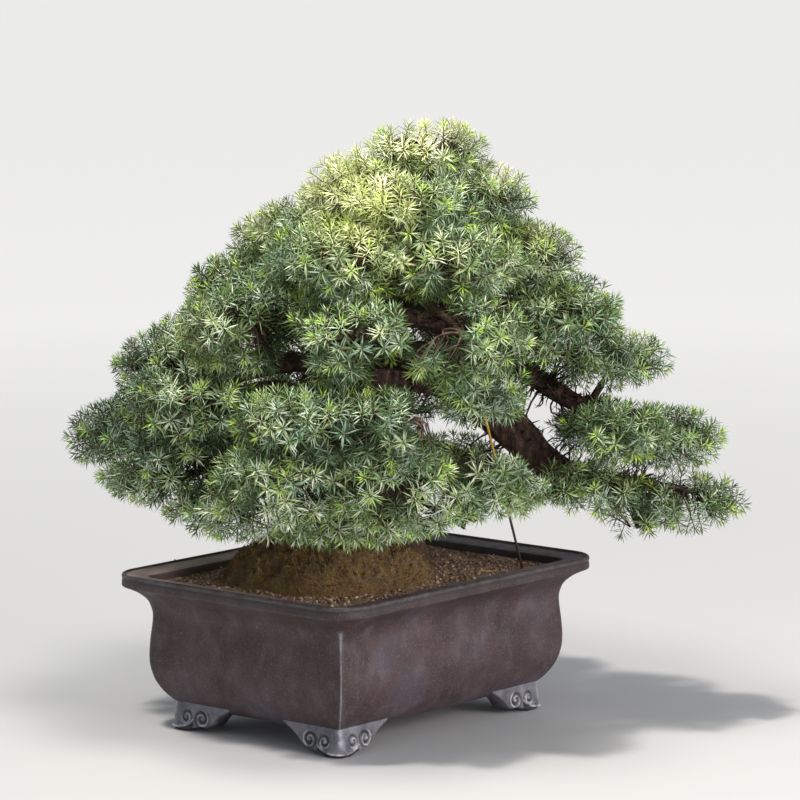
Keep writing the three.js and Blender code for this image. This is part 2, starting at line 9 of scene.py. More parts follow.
import bpy
import numpy as np
from mathutils import Matrix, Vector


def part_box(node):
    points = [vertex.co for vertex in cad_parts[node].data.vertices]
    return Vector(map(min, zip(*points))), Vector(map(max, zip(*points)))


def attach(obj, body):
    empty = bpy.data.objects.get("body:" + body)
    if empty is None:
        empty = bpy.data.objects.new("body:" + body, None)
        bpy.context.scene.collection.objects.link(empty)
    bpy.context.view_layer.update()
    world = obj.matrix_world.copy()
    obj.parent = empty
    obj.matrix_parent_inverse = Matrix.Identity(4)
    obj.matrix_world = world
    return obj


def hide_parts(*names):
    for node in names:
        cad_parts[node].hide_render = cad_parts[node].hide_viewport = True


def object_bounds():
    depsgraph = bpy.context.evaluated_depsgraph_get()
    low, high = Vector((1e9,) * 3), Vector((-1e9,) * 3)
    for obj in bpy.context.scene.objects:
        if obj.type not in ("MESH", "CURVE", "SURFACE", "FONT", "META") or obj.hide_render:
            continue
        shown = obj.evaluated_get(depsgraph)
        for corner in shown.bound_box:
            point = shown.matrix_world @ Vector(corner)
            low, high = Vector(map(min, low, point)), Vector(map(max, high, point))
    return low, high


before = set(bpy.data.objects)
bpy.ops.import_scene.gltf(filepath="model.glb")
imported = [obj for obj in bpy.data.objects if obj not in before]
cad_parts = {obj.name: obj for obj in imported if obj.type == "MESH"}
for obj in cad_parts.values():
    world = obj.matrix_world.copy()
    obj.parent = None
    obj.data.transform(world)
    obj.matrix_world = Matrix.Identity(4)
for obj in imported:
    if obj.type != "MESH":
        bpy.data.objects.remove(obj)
cad_box = [list(corner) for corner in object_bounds()]
MM = 0.001
pot_low, pot_high = (np.array(corner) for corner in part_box("pot"))
POT_MIDDLE = np.array([*(pot_low + pot_high)[:2] / 2, 0.0])
POT_LENGTH, POT_WIDTH, POT_HEIGHT = (pot_high - pot_low) / MM
print("pot", POT_LENGTH.round(1), POT_WIDTH.round(1), POT_HEIGHT.round(1), "mm")

# %% [markdown]
# ## Placing a camera where the photographer stood
# The camera's place was found by fitting the pot's outline: a long lens, almost
# level, that looks over one corner of the pot. The camera's three axes are
# written as vectors, which says the view more plainly than three angles.

# %% The camera
FOCAL_PIXELS = 4376.0
IMAGE_PIXELS = 800.0
SENSOR_MM = 36.0
VIEW_TURN = np.radians(-49.82)
VIEW_RISE = np.radians(7.98)
VIEW_DISTANCE = 3957.5
VIEW_RIGHT_OF_POT = 38.07
VIEW_HEIGHT = 292.97

view_right = np.array([np.cos(VIEW_TURN), np.sin(VIEW_TURN), 0.0])
view_back = np.array([
    np.sin(VIEW_TURN) * np.cos(VIEW_RISE),
    -np.cos(VIEW_TURN) * np.cos(VIEW_RISE),
    np.sin(VIEW_RISE),
])
target = VIEW_RIGHT_OF_POT * view_right + [0.0, 0.0, VIEW_HEIGHT]
eye = (target + VIEW_DISTANCE * view_back) * MM + POT_MIDDLE


def stand(thing, right, back, place):
    """Puts a camera or a light at a place: it looks against `back`, and `right` is its right."""
    axes = np.stack([right, np.cross(back, right), back], axis=1)
    thing.matrix_world = Matrix([[*row, at] for row, at in zip(axes, place)] + [[0, 0, 0, 1]])
    bpy.context.scene.collection.objects.link(thing)


camera = bpy.data.objects.new("camera", bpy.data.cameras.new("camera"))
camera.data.sensor_width = SENSOR_MM
camera.data.lens = FOCAL_PIXELS / IMAGE_PIXELS * SENSOR_MM
stand(camera, view_right, view_back, eye)
bpy.context.scene.camera = camera
print("lens", round(camera.data.lens, 1), "mm")

# %% [markdown]
# ## Small tools for meshes
# A surface on a grid needs its faces only once, so one function lists them for
# any grid. Points are kept in millimetres until `add_piece` makes the mesh. Each
# piece rides on the one body of the model and may replace nodes of the frame.

# %% Meshes from arrays
def unit(vectors):
    """Each vector divided by its own length."""
    return vectors / np.maximum(np.linalg.norm(vectors, axis=-1, keepdims=True), 1e-9)


def grid_faces(rows, columns, closed=True):
    """Quads between neighbouring points of a grid; closed joins the last column to the first."""
    row = np.arange(rows - 1)[:, None]
    column = np.arange(columns if closed else columns - 1)[None, :]
    here = row * columns + column
    beside = row * columns + (column + 1) % columns
    return np.stack([here, beside, beside + columns, here + columns], axis=-1).reshape(-1, 4)


def tube_faces(rows, columns):
    """The quads of a closed tube and one many-sided face over each end, as a list."""
    ends = [list(range(columns))[::-1], list(range((rows - 1) * columns, rows * columns))]
    return grid_faces(rows, columns).tolist() + ends


def smooth_rows(rows, count):
    """Catmull-Rom curve through rows of numbers: at each place along it, a cubic
    blend of the four nearest rows."""
    rows = np.asarray(rows, float)
    padded = np.vstack([2 * rows[0] - rows[1], rows, 2 * rows[-1] - rows[-2]])
    place = np.linspace(0, len(rows) - 1, count)
    first = np.minimum(place.astype(int), len(rows) - 2)
    t = (place - first)[:, None]
    a, b, c, d = (padded[first + k] for k in range(4))
    return b + 0.5 * t * (c - a + t * (2 * a - 5 * b + 4 * c - d + t * (3 * (b - c) + d - a)))


print("grid tools ready")

# %% Pieces of the model
def add_piece(name, points, faces, material, slot, nodes=(), smooth=True):
    """A mesh object from points in millimetres; faces are one array, or a list of lists."""
    mesh = bpy.data.meshes.new(name)
    points = np.asarray(points, float).reshape(-1, 3) * MM + POT_MIDDLE
    if isinstance(faces, np.ndarray):
        mesh.vertices.add(len(points))
        mesh.vertices.foreach_set("co", points.ravel())
        mesh.loops.add(faces.size)
        mesh.loops.foreach_set("vertex_index", faces.ravel())
        mesh.polygons.add(len(faces))
        mesh.polygons.foreach_set("loop_start", np.arange(0, faces.size, faces.shape[1]))
        mesh.update(calc_edges=True)
    else:
        mesh.from_pydata(points, [], faces)
    mesh.polygons.foreach_set("use_smooth", np.full(len(mesh.polygons), smooth))
    mesh.materials.append(material)
    piece = bpy.data.objects.new(name, mesh)
    bpy.context.scene.collection.objects.link(piece)
    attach(piece, "root")
    if nodes:
        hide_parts(*nodes)
    return piece


def add_values(piece, name, values):
    """A number for each point of the mesh, which a material can read by its name."""
    layer = piece.data.attributes.new(name, "FLOAT", "POINT")
    layer.data.foreach_set("value", np.asarray(values, np.float32).ravel())


def several(parts):
    """Joins meshes given as (points, faces list) into one, with the faces renumbered."""
    points = np.vstack([np.asarray(p).reshape(-1, 3) for p, _ in parts])
    starts = np.cumsum([0] + [np.asarray(p).reshape(-1, 3).shape[0] for p, _ in parts[:-1]])
    faces = [[i + start for i in face] for (_, fs), start in zip(parts, starts) for face in fs]
    return points, faces


print("mesh tools ready")

# %% [markdown]
# ## Small tools for materials
# Colours are picked as sRGB hex values, as on any screen, and turned into the
# linear numbers that the renderer adds up. One function adds a node with its
# settings and its links, so a material reads as a short list.

# %% Materials from nodes
def linear(code):
    """An sRGB hex colour as linear red, green, blue and alpha: each channel is
    undone from the screen's curve, a straight foot and a power of 2.4 above it."""
    channels = [int(code[i:i + 2], 16) / 255 for i in (0, 2, 4)]
    return [c / 12.92 if c <= 0.04045 else ((c + 0.055) / 1.055) ** 2.4 for c in channels] + [1.0]


def add_node(tree, kind, values, out=0):
    """Adds a node and gives back one of its outputs. Values name the node's properties, its
    inputs by name or number, or a colour ramp's stops; an output as value becomes a link."""
    node = tree.nodes.new("ShaderNode" + kind)
    for name, value in values.items():
        if name == "stops":
            elements = node.color_ramp.elements
            while len(elements) < len(value):
                elements.new(0.5)
            for element, (place, code) in zip(elements, value):
                element.position = place
                element.color = linear(code)
        elif isinstance(value, bpy.types.NodeSocket):
            tree.links.new(value, node.inputs[name])
        elif isinstance(name, str) and hasattr(node, name):
            setattr(node, name, value)
        else:
            node.inputs[name].default_value = value
    return node.outputs[out]


def new_material(name, roughness, **sockets):
    """A material with its Principled shader; returns material, node tree and shader."""
    material = bpy.data.materials.new(name)
    material.use_nodes = True
    shader = material.node_tree.nodes["Principled BSDF"]
    shader.inputs["Roughness"].default_value = roughness
    for socket, value in sockets.items():
        shader.inputs[socket.replace("_", " ")].default_value = value
    return material, material.node_tree, shader


print("node tools ready")

# %% Patterns, coats and relief
def blots(tree, millimetres, detail=4.0, stretch=(1, 1, 1), roughness=0.5):
    """A cloudy pattern on Object coordinates whose blots measure about so many millimetres."""
    place = add_node(tree, "TexCoord", {}, "Object")
    moved = add_node(tree, "Mapping", {"Scale": stretch, "Vector": place})
    return add_node(tree, "TexNoise", {
        "Scale": 1 / (millimetres * MM), "Detail": detail, "Roughness": roughness, "Vector": moved,
    }, "Fac")


def coats(tree, ground, layers):
    """Colours laid one over another: each layer is its share, from 0 to 1, and its colour."""
    for share, colour in layers:
        lower, upper = (linear(one) if isinstance(one, str) else one for one in (ground, colour))
        ground = add_node(tree, "Mix", {"data_type": "RGBA", 0: share, 6: lower, 7: upper}, 2)
    return ground


def dress(tree, shader, colour, relief=()):
    """Gives the shader its colour, and bumps: their source, their depth in mm and strength."""
    tree.links.new(colour, shader.inputs["Base Color"])
    if relief:
        source, depth, strength = relief
        lumps = {"Height": source, "Distance": depth * MM, "Strength": strength}
        tree.links.new(add_node(tree, "Bump", lumps), shader.inputs["Normal"])


print("material tools ready")

# %% [markdown]
# ## Unglazed stoneware
# The pot is unglazed clay, fired dark purple-brown. Such clay is matt with a
# soft sheen where hands rub it, mottled red-brown and blue-grey from the kiln,
# and full of fine pale specks. Four numbers on the mesh steer it: kiln says where
# the clay came out blue-grey; hollow is painted shade in the feet's carved
# recesses and the groove under the lip, and makes the lip band and the ledge's
# inner edge darker; the third is pale where raised edges are rubbed, and is
# painted light on the ledge; the fourth is painted light, a pale brown on the
# back left part of the ledge.

# %% The fired clay
clay, tree, shader = new_material("unglazed_stoneware", 0.58, IOR=1.5)
mottle = blots(tree, 16.0, 6.0, (1, 1, 0.7), 0.6)
body = add_node(tree, "ValToRGB", {"Fac": blots(tree, 60.0, 5.0, (1, 1, 1.2)), "stops": [
    (0.34, "2A1917"), (0.46, "382626"), (0.58, "443438"), (0.72, "494650"),
]})
spots = add_node(tree, "ValToRGB", {
    "Fac": mottle,
    "stops": [(0.32, "251616"), (0.52, "413033"), (0.7, "5B5358")]})
blue = add_node(tree, "ValToRGB", {
    "Fac": mottle,
    "stops": [(0.3, "45454E"), (0.5, "5C5F6A"), (0.7, "7C808C")]})
dots = add_node(tree, "ValToRGB", {
    "Fac": blots(tree, 1.6, 2.0),
    "stops": [(0.56, "000000"), (0.7, "FFFFFF")]})
patchy = add_node(tree, "ValToRGB", {
    "Fac": blots(tree, 8.0, 4.0),
    "stops": [(0.38, "5A5A5A"), (0.6, "FFFFFF")]})
kiln, hollow, wear, dust = (
    add_node(tree, "Attribute", {"attribute_name": name}, "Fac")
    for name in ("kiln", "hollow", "wear", "dust")
)
# Pale where raised edges are rubbed, and painted light on the ledge
rub_and_painted_light = add_node(tree, "Math", {"operation": "MULTIPLY", 0: wear, 1: patchy})
fired = coats(tree, body, [(0.45, spots), (kiln, blue)])
# The near-black 1D1718 of hollow is painted shade in recesses and under the lip, and a darker lip
# band and ledge edge
fired = coats(tree, fired, [
    # The pale brown A08C7F is painted light on the back left ledge
    (0.22, coats(tree, fired, [(dots, "918A90")])), (hollow, "1D1718"), (dust, "A08C7F"),
    # The pale BDBEC6 is rubbed wear on raised edges and painted light on the ledge
    (rub_and_painted_light, "BDBEC6"),
])
dress(tree, shader, fired, (blots(tree, 2.2, 5.0), 0.35, 0.8))
print("clay made")

# %% [markdown]
# ## The pot's wall
# Seen from above, every level of the pot is a rectangle with round corners.
# Three numbers give a level: how far it lies in from the rim's outline, its
# height, and its corner radius. A smooth curve through a few such rows gives
# the belly, and closer rows give the lip with its raised bead and sloping ledge.
# A slim bead runs down each corner.

# %% The wall's profile
BELLY = [
    (58, 17.5, 4), (50, 20, 4), (41.5, 26.5, 4), (34.5, 35.5, 4), (29.2, 47, 4), (26.4, 62, 4),
    (26.8, 80, 4), (28.4, 102, 5), (26, 112, 9), (20.5, 119.5, 15), (12.5, 125.8, 22),
    (3.6, 130.4, 28.5),
]
LIP = [
    (1.2, 131.2, 30.8), (0.3, 131.9, 31.7), (0.2, 133, 31.8), (0.35, 136, 31.6),
    (0.75, 138.2, 31.2), (0.7, 139, 31.3), (0.15, 139.7, 31.9), (0.1, 141, 31.9),
    (0.7, 142.3, 31.3), (1.9, 142.95, 30.1), (3.0, 142.7, 29), (3.9, 141.8, 28.1),
    (4.5, 141, 27.5), (5.6, 140.9, 26.4), (14, 140.2, 18), (22.6, 139.3, 10.6),
    (24.2, 138.8, 9.8), (25.3, 137.4, 9),
]
INSIDE = [(26, 133, 8), (34, 112, 6), (37.4, 98, 5), (38.4, 46, 5), (48, 31.5, 5), (58, 27.5, 5)]
CORNERS = [(1, 1), (-1, 1), (-1, -1), (1, -1)]
ARC_STEPS = 16
SIDE_STEPS = 10
CORNER_BEAD = 1.0
BELLY_LEVELS, INSIDE_LEVELS = 56, 16
# First and last level of the lip, of its bead, of the ledge, and of the ledge's inner edge
LIP_SPAN, BEAD_SPAN, LEDGE_SPAN, EDGE_SPAN = (58, 65), (62, 65), (68, 71), (72, 74)
UNDER_LIP = 60


def pot_rings(levels):
    """Rounded rectangles: a corner point is the corner's centre plus radius times
    (cos, sin) of its angle, and side points lie evenly between two corners."""
    levels = np.asarray(levels, float)
    inset, height, radius = levels.T[:, :, None]
    turn = np.radians(90) * np.arange(ARC_STEPS + 1) / ARC_STEPS
    bead = CORNER_BEAD * np.exp(-((turn - np.radians(45)) / np.radians(11)) ** 2)
    bead = bead * np.clip((118 - height) / 5, 0, 1)
    arcs = []
    for quarter, (side_x, side_y) in enumerate(CORNERS):
        angle = turn + quarter * np.pi / 2
        x = side_x * (POT_LENGTH / 2 - inset - radius) + (radius + bead) * np.cos(angle)
        y = side_y * (POT_WIDTH / 2 - inset - radius) + (radius + bead) * np.sin(angle)
        arcs.append(np.stack([x, y, height + 0 * angle], axis=-1))
    ring = []
    share = (np.arange(1, SIDE_STEPS) / SIDE_STEPS)[None, :, None]
    for arc, following in zip(arcs, arcs[1:] + arcs[:1]):
        ring += [arc, arc[:, -1:] * (1 - share) + following[:, :1] * share]
    return np.concatenate(ring, axis=1)


print("profile", len(BELLY) + len(LIP) + len(INSIDE), "rows")

# %% The pot's wall
profile = [smooth_rows(BELLY, BELLY_LEVELS), LIP, smooth_rows(INSIDE, INSIDE_LEVELS)]
wall = pot_rings(np.vstack(profile))
rows, columns = wall.shape[:2]
pot = add_piece("pot_wall", wall, tube_faces(rows, columns), clay, "fired_clay", ["pot"])
height = wall[:, :, 2]
level = np.arange(rows)[:, None]


def at_levels(span):
    """1 on the levels from the first to the last of a span, and 0 elsewhere."""
    return 1.0 * ((level >= span[0]) & (level <= span[1]))


column = np.arange(columns) % (ARC_STEPS + SIDE_STEPS)
on_corner = np.exp(-((column - ARC_STEPS / 2) / 1.6) ** 2)
on_belly = (level < BELLY_LEVELS) * np.clip((118 - height) / 5, 0, 1)
far_left = np.clip(-(wall[:, :, 0] / POT_LENGTH - wall[:, :, 1] / POT_WIDTH) * 1.4, 0, 1)
# Painted shade in the groove under the lip; the lip band and the ledge's inner edge are made darker
painted_shade_and_darker_bands = 0.4 * at_levels(EDGE_SPAN) + 0.4 * (level == UNDER_LIP) + 0.42 * at_levels(LIP_SPAN)
for name, share in {
    # Rubbed pale on the corner beads and the lip's bead, and painted light on the whole ledge
    "wear": 0.2 * on_corner * on_belly + 0.06 * at_levels(BEAD_SPAN) + 0.14 * at_levels(LEDGE_SPAN),
    # Painted light, a pale brown, on the back left ledge and the inner wall below it
    "dust": 0.9 * far_left * (at_levels(LEDGE_SPAN) + 0.25 * (level > LEDGE_SPAN[1])),
    "kiln": np.clip(0.75 * on_corner + 0.55 * np.exp(-height / 14), 0, 1) * on_belly,
    "hollow": painted_shade_and_darker_bands + 0 * height,
}.items():
    add_values(pot, name, share)
pot.data.set_sharp_from_angle(angle=np.radians(50))
print("pot wall", len(pot.data.polygons), "faces")

# %% [markdown]
# ## The scrolled feet
# The real feet were pressed in a mould: a smooth wing, two scrolls on each side
# and a curled lip below them. One foot is a sheet wrapped round the pot's
# corner. One parameter runs along the sheet from wing to wing, the other up it,
# and the scrolls are heights added to the sheet. An Archimedean spiral is a good
# scroll: its arm moves inwards by one pitch at each turn.

# %% Scrolls and lip of a foot
FOOT_INSET, FOOT_REACH, FOOT_HEIGHT, FOOT_THICKNESS, FOOT_RADIUS = 42.7, 66.0, 26.0, 15.0, 6.0
FOOT_UNDERSIDE = [
    (0, 0), (13, 0), (17, 0.9), (22, 2.6), (27, 4.2), (31, 5.0), (35, 4.4), (38, 4.8), (43.5, 8.5),
    (49, 14), (56, 19), (66, 24.4),
]
SCROLLS = [
    {"along": 14.8, "up": 12.6, "radius": 5.6, "pitch": 4.9, "turn": 1, "start": -1.9},
    {"along": 32.4, "up": 12.8, "radius": 7.6, "pitch": 5.3, "turn": -1, "start": 0.3},
]
LIP_LINE = [(0, 3.0), (6, 3.1), (12, 4.2), (17, 6.2), (20.6, 8.4), (23.4, 12.0)]
RIDGE = 2.3
CARVED_STEP = 0.85
FOOT_FLARE = 4.0


def scroll_height(along, up, scroll):
    """A ridge with a round top on the spiral r = R - pitch * turns: its height falls off
    with the distance to the nearest arm; a small boss fills the middle."""
    x, y = along - scroll["along"], up - scroll["up"]
    r = np.hypot(x, y)
    turns = scroll["turn"] * (np.arctan2(y, x) - scroll["start"]) / (2 * np.pi)
    arm = (scroll["radius"] - r) / scroll["pitch"] - turns
    apart = np.abs(arm - np.round(arm)) * scroll["pitch"]
    inside = np.clip((scroll["radius"] + 0.9 - r) / 0.6, 0, 1) * np.clip((r - 0.9) / 0.8, 0, 1)
    boss = np.exp(-(r / 1.5) ** 2)
    hollow = 1.1 * np.clip(1 - (r / (scroll["radius"] + 1.5)) ** 6, 0, 1)
    return RIDGE * np.maximum(np.exp(-(apart / 1.15) ** 2) * inside, boss) - hollow


def lip_height(along, up):
    """A ridge along a drawn line; below the line the sheet steps back to the sole."""
    line_along, line_up = np.array(LIP_LINE).T
    above = up - np.interp(along, line_along, line_up)
    fades = np.clip((LIP_LINE[-1][0] - along) / 1.5, 0, 1)
    return (RIDGE * np.exp(-(above / 0.8) ** 2) - 1.1 * np.clip(-above / 1.2, 0, 1)) * fades


print("scrolls", len(SCROLLS))

# %% The sheet of one foot
def foot_grid():
    """The sheet's points: position along the rounded corner, height between the
    underside's curve and the top, and carved height outwards."""
    arc = FOOT_RADIUS * np.pi / 2
    reach = FOOT_REACH - FOOT_RADIUS + arc / 2
    s = np.linspace(-reach, reach, int(2 * reach / CARVED_STEP))[:, None]
    v = np.linspace(0, 1, int(FOOT_HEIGHT / CARVED_STEP))[None, :]
    along = np.abs(s) + FOOT_RADIUS - arc / 2
    underside = np.interp(np.abs(s), *np.array(FOOT_UNDERSIDE).T)
    up = underside + (FOOT_HEIGHT - underside) * v
    relief = sum(scroll_height(np.abs(s) + 0 * v, up, one) for one in SCROLLS)
    lip = lip_height(np.abs(s) + 0 * v, up)
    relief = np.where(lip > 0.3, np.maximum(relief, lip), relief + np.minimum(lip, 0))
    relief = relief + 0.9 * np.exp(-(s / 2.2) ** 2) * np.clip((up - 7) / 6, 0, 1)
    out = relief - 1.6 * (1 - np.sqrt(1 - (1 - np.clip((up - underside) / 2.0, 0, 1)) ** 2))
    out = out * np.clip((FOOT_HEIGHT + 2 - up) / 3, 0, 1)
    out = out + FOOT_FLARE * (1 - up / FOOT_HEIGHT) ** 1.3 * np.clip((44 - np.abs(s)) / 22, 0, 1)
    turn = np.clip(s / (arc / 2), -1, 1) * np.radians(45) + np.radians(225)
    straight = np.maximum(np.abs(s) - arc / 2, 0)
    x = FOOT_RADIUS + (FOOT_RADIUS + out) * np.cos(turn) + np.where(s > 0, straight, 0)
    y = FOOT_RADIUS + (FOOT_RADIUS + out) * np.sin(turn) + np.where(s < 0, straight, 0)
    inner = FOOT_THICKNESS + (FOOT_REACH - FOOT_THICKNESS) * np.abs(s) / reach
    back_x = np.where(s > 0, inner, FOOT_THICKNESS) + 0 * v
    back_y = np.where(s < 0, inner, FOOT_THICKNESS) + 0 * v
    front = np.stack([x, y, up], axis=-1)
    back = np.stack([back_x, back_y, up], axis=-1)[:, ::-4]
    return np.concatenate([front, back], axis=1), relief


foot, carved = foot_grid()
print("one foot", foot.shape[0] * foot.shape[1], "points")

# %% One foot and its three mirrored copies
foot_faces = tube_faces(*foot.shape[:2])
feet = []
for side_x, side_y in CORNERS:
    corner = [side_x * (POT_LENGTH / 2 - FOOT_INSET), side_y * (POT_WIDTH / 2 - FOOT_INSET), 0]
    points = foot * [-side_x, -side_y, 1] + corner
    faces = [face[::-1] for face in foot_faces] if side_x * side_y > 0 else foot_faces
    feet.append((points, faces))
feet = add_piece("pot_feet", *several(feet), clay, "fired_clay", ["pot"])
front = np.arange(foot.shape[1])[None, :] < carved.shape[1]
raised = np.pad(carved, ((0, 0), (0, foot.shape[1] - carved.shape[1]))) / RIDGE
for name, share in {
    "wear": front * np.clip(0.14 + 1.6 * raised, 0, 1.0),
    # Painted shade in the carved recesses of the feet
    "hollow": front * np.clip(-raised * 2.0, 0, 0.8),
    "kiln": front * 0.85 + 0 * raised,
}.items():
    add_values(feet, name, np.tile(share.ravel(), 4))
print("feet", len(feet.data.polygons), "faces")

# %% [markdown]
# ## Soil and moss
# Both are height fields: the height above a point of the ground is a sum of
# waves, long ones for the swell and short ones for crumbs. The moss gets
# thousands of small tufts, each only four triangles, and the soil gets grains.

# %% Uneven ground
TREE_TURN = np.radians(-49.8)
TREE_AXES = np.array([
    [np.cos(TREE_TURN), np.sin(TREE_TURN), 0],
    [-np.sin(TREE_TURN), np.cos(TREE_TURN), 0],
    [0, 0, 1],
])
GRIT_TOP, SOIL_LEVEL, SOIL_TOP, SOIL_RELIEF, CLEARANCE = 46.0, 128.0, 133.0, 1.1, 0.35
MOUND_CENTRE, MOUND_HALF = (-28, -22), (97, 92)
MOUND_HEIGHT, MOUND_SUNK, MOUND_RELIEF = 46.0, -6.0, 1.8


def planted(points):
    """Points given as right, away and up of the tree, in the pot's own directions."""
    return np.asarray(points, float) @ TREE_AXES


def relief(x, y, size):
    """Gentle unevenness: the product of two long waves, and half of a third."""
    broad = np.sin(x / 17 + 1.3) * np.cos(y / 13 - 0.7)
    return size * (broad + 0.5 * np.sin((x + 2 * y) / 9))


def crumbs(x, y, longest, seed, waves=24):
    """Sum of sine waves in random directions, each one as high as it is long."""
    draw = np.random.default_rng(seed)
    heading = draw.uniform(0, 2 * np.pi, waves)
    length = longest * draw.uniform(0.12, 1, waves) ** 1.5
    phase = draw.uniform(0, 2 * np.pi, waves)
    along = x[..., None] * np.cos(heading) + y[..., None] * np.sin(heading)
    return (np.sin(2 * np.pi * along / length + phase) * length).sum(-1) / (longest * waves ** 0.5)


print("ground tools ready")

# %% The soil up to its surface
SOIL_RINGS = 46
wall_rows = np.array(INSIDE, float)[::-1]
levels = np.array([GRIT_TOP + CLEARANCE, 60, 80, 98, 112, SOIL_TOP])
insets = np.interp(levels, wall_rows[:, 1], wall_rows[:, 0]) + CLEARANCE
radii = np.interp(levels, wall_rows[:, 1], wall_rows[:, 2])
sides = pot_rings(np.stack([insets, levels, radii], axis=1))
share = np.linspace(1, 0.02, SOIL_RINGS)[1:, None, None]
top = sides[-1:] * share
x, y = top[:, :, 0], top[:, :, 1]
from_edge = np.clip((1 - share[..., 0]) * 12, 0, 1)
top[:, :, 2] = SOIL_TOP + relief(x, y, SOIL_RELIEF) + 1.3 * crumbs(x, y, 14, 5) * from_edge
ground = np.concatenate([sides, top])

# Potting soil on a dry day: matt crumbs of about 3 mm in many browns, which the eye sees
# as fine spots, and a dull green film where it stays damp
humus, tree, shader = new_material("potting_soil", 0.9, IOR=1.4)
crumb_colour = add_node(tree, "ValToRGB", {"Fac": blots(tree, 3.2, 6.0, roughness=0.65), "stops": [
    (0.3, "5E4C3F"), (0.45, "836B58"), (0.58, "A58A72"), (0.7, "C0A688"), (0.8, "D4BE9F"),
]})
mossy = add_node(tree, "ValToRGB", {
    "Fac": blots(tree, 26.0, 3.0),
    "stops": [(0.5, "000000"), (0.66, "FFFFFF")]})
green_film = coats(tree, crumb_colour, [(0.4, "4E4A22")])
soil_colour = coats(tree, crumb_colour, [(mossy, green_film)])
dress(tree, shader, soil_colour, (blots(tree, 2.4, 6.0, roughness=0.7), 1.6, 1.0))
soil_faces = tube_faces(*ground.shape[:2])
soil = add_piece("soil_surface", ground, soil_faces, humus, "potting_soil", ["soil"])
print("soil", len(soil.data.polygons), "faces")

# %% [markdown]
# ## Repeating a small shape
# Grains, dead needles and moss tufts are all copies of one small closed shape.
# Each copy has its own place, size and turn, and all copies are one array: the
# shape's points times a turning matrix for each copy, plus each copy's place.

# %% Copies of a small shape
GOLDEN = (1 + 5 ** 0.5) / 2
LUMP_POINTS = unit(np.array([
    (-1, GOLDEN, 0), (1, GOLDEN, 0), (-1, -GOLDEN, 0), (1, -GOLDEN, 0),
    (0, -1, GOLDEN), (0, 1, GOLDEN), (0, -1, -GOLDEN), (0, 1, -GOLDEN),
    (GOLDEN, 0, -1), (GOLDEN, 0, 1), (-GOLDEN, 0, -1), (-GOLDEN, 0, 1),
]))
LUMP_FACES = np.array([
    (0, 11, 5), (0, 5, 1), (0, 1, 7), (0, 7, 10), (0, 10, 11), (1, 5, 9), (5, 11, 4), (11, 10, 2),
    (10, 7, 6), (7, 1, 8), (3, 9, 4), (3, 4, 2), (3, 2, 6), (3, 6, 8), (3, 8, 9), (4, 9, 5),
    (2, 4, 11), (6, 2, 10), (8, 6, 7), (9, 8, 1),
])


def frames_along(axes, spin):
    """A turning matrix for each axis: its rows are two directions across the axis,
    turned round it by the spin, and the axis itself."""
    axes = unit(axes)
    level = np.where(np.abs(axes[:, 2:]) < 0.9, [[0, 0, 1]], [[1, 0, 0]])
    across = unit(np.cross(level, axes))
    other = np.cross(axes, across)
    spin = np.asarray(spin)[:, None]
    first = np.cos(spin) * across + np.sin(spin) * other
    return np.stack([first, np.cross(axes, first), axes], axis=1)


def copies(shape, faces, places, sizes, turns):
    """Every copy's points are shape * size @ turn + place; its faces are renumbered."""
    points = np.einsum("ijk,ikl->ijl", shape[None] * sizes[:, None], turns) + places[:, None]
    starts = np.arange(len(places))[:, None, None] * len(shape)
    return points.reshape(-1, 3), (faces[None] + starts).reshape(-1, faces.shape[1])


print("copying tools ready")

# %% Grains on the soil
draw = np.random.default_rng(71)
GRAINS = 2600
WALL_AND_LEDGE = 32.0


def on_soil(count, rise):
    """Random places on the soil, evenly spread, a little above its surface."""
    half = np.array([POT_LENGTH, POT_WIDTH]) / 2 - WALL_AND_LEDGE
    x, y = (draw.uniform(-1, 1, (count, 2)) * half).T
    return np.stack([x, y, SOIL_TOP + relief(x, y, SOIL_RELIEF) + rise], axis=1)


grain_sizes = draw.uniform(0.7, 1.65, (GRAINS, 1)) ** 1.4 * draw.uniform(0.7, 1.2, (GRAINS, 3))
grain_turns = frames_along(draw.normal(size=(GRAINS, 3)), draw.uniform(0, 6.3, GRAINS))
grain_places = on_soil(GRAINS, 0.4)
under_mound = (grain_places @ TREE_AXES.T)[:, :2] - MOUND_CENTRE
shows = np.hypot(*(under_mound / MOUND_HALF).T) > 0.86
shown = (one[shows] for one in (grain_places, grain_sizes, grain_turns))
grains = copies(LUMP_POINTS, LUMP_FACES, *shown)
# Fired clay, broken and sieved: matt and dusty, each grain of one plain tan or paler colour
grit_clay, tree, shader = new_material("fired_clay_grit", 0.85, IOR=1.45)
which = add_node(tree, "Attribute", {"attribute_name": "tint"}, "Fac")
grain_colour = add_node(tree, "ValToRGB", {"Fac": which, "stops": [
    (0.0, "8A7466"), (0.4, "A38B78"), (0.7, "B59B82"), (0.88, "C8B090"), (1.0, "DCCBAC"),
]})
dress(tree, shader, grain_colour, (blots(tree, 0.9, 4.0), 0.4, 0.8))
grain_piece = add_piece("soil_grains", *grains, grit_clay, "potting_soil", ["soil"])
tint = draw.uniform(0, 1, GRAINS)[shows] ** 4
add_values(grain_piece, "tint", np.repeat(tint, len(LUMP_POINTS)))
print("grains", len(grain_piece.data.polygons), "faces")

# %% [markdown]
# ## The mossy mound
# Moss has grown over the root ball. From a step away it reads as a soft brown
# and olive fur, so the mound gets tufts that stand out of it: each tuft is a
# slim three-sided spike, leaning a little its own way.

# %% The mound
MOUND_SIDES, MOUND_RINGS = 150, 60


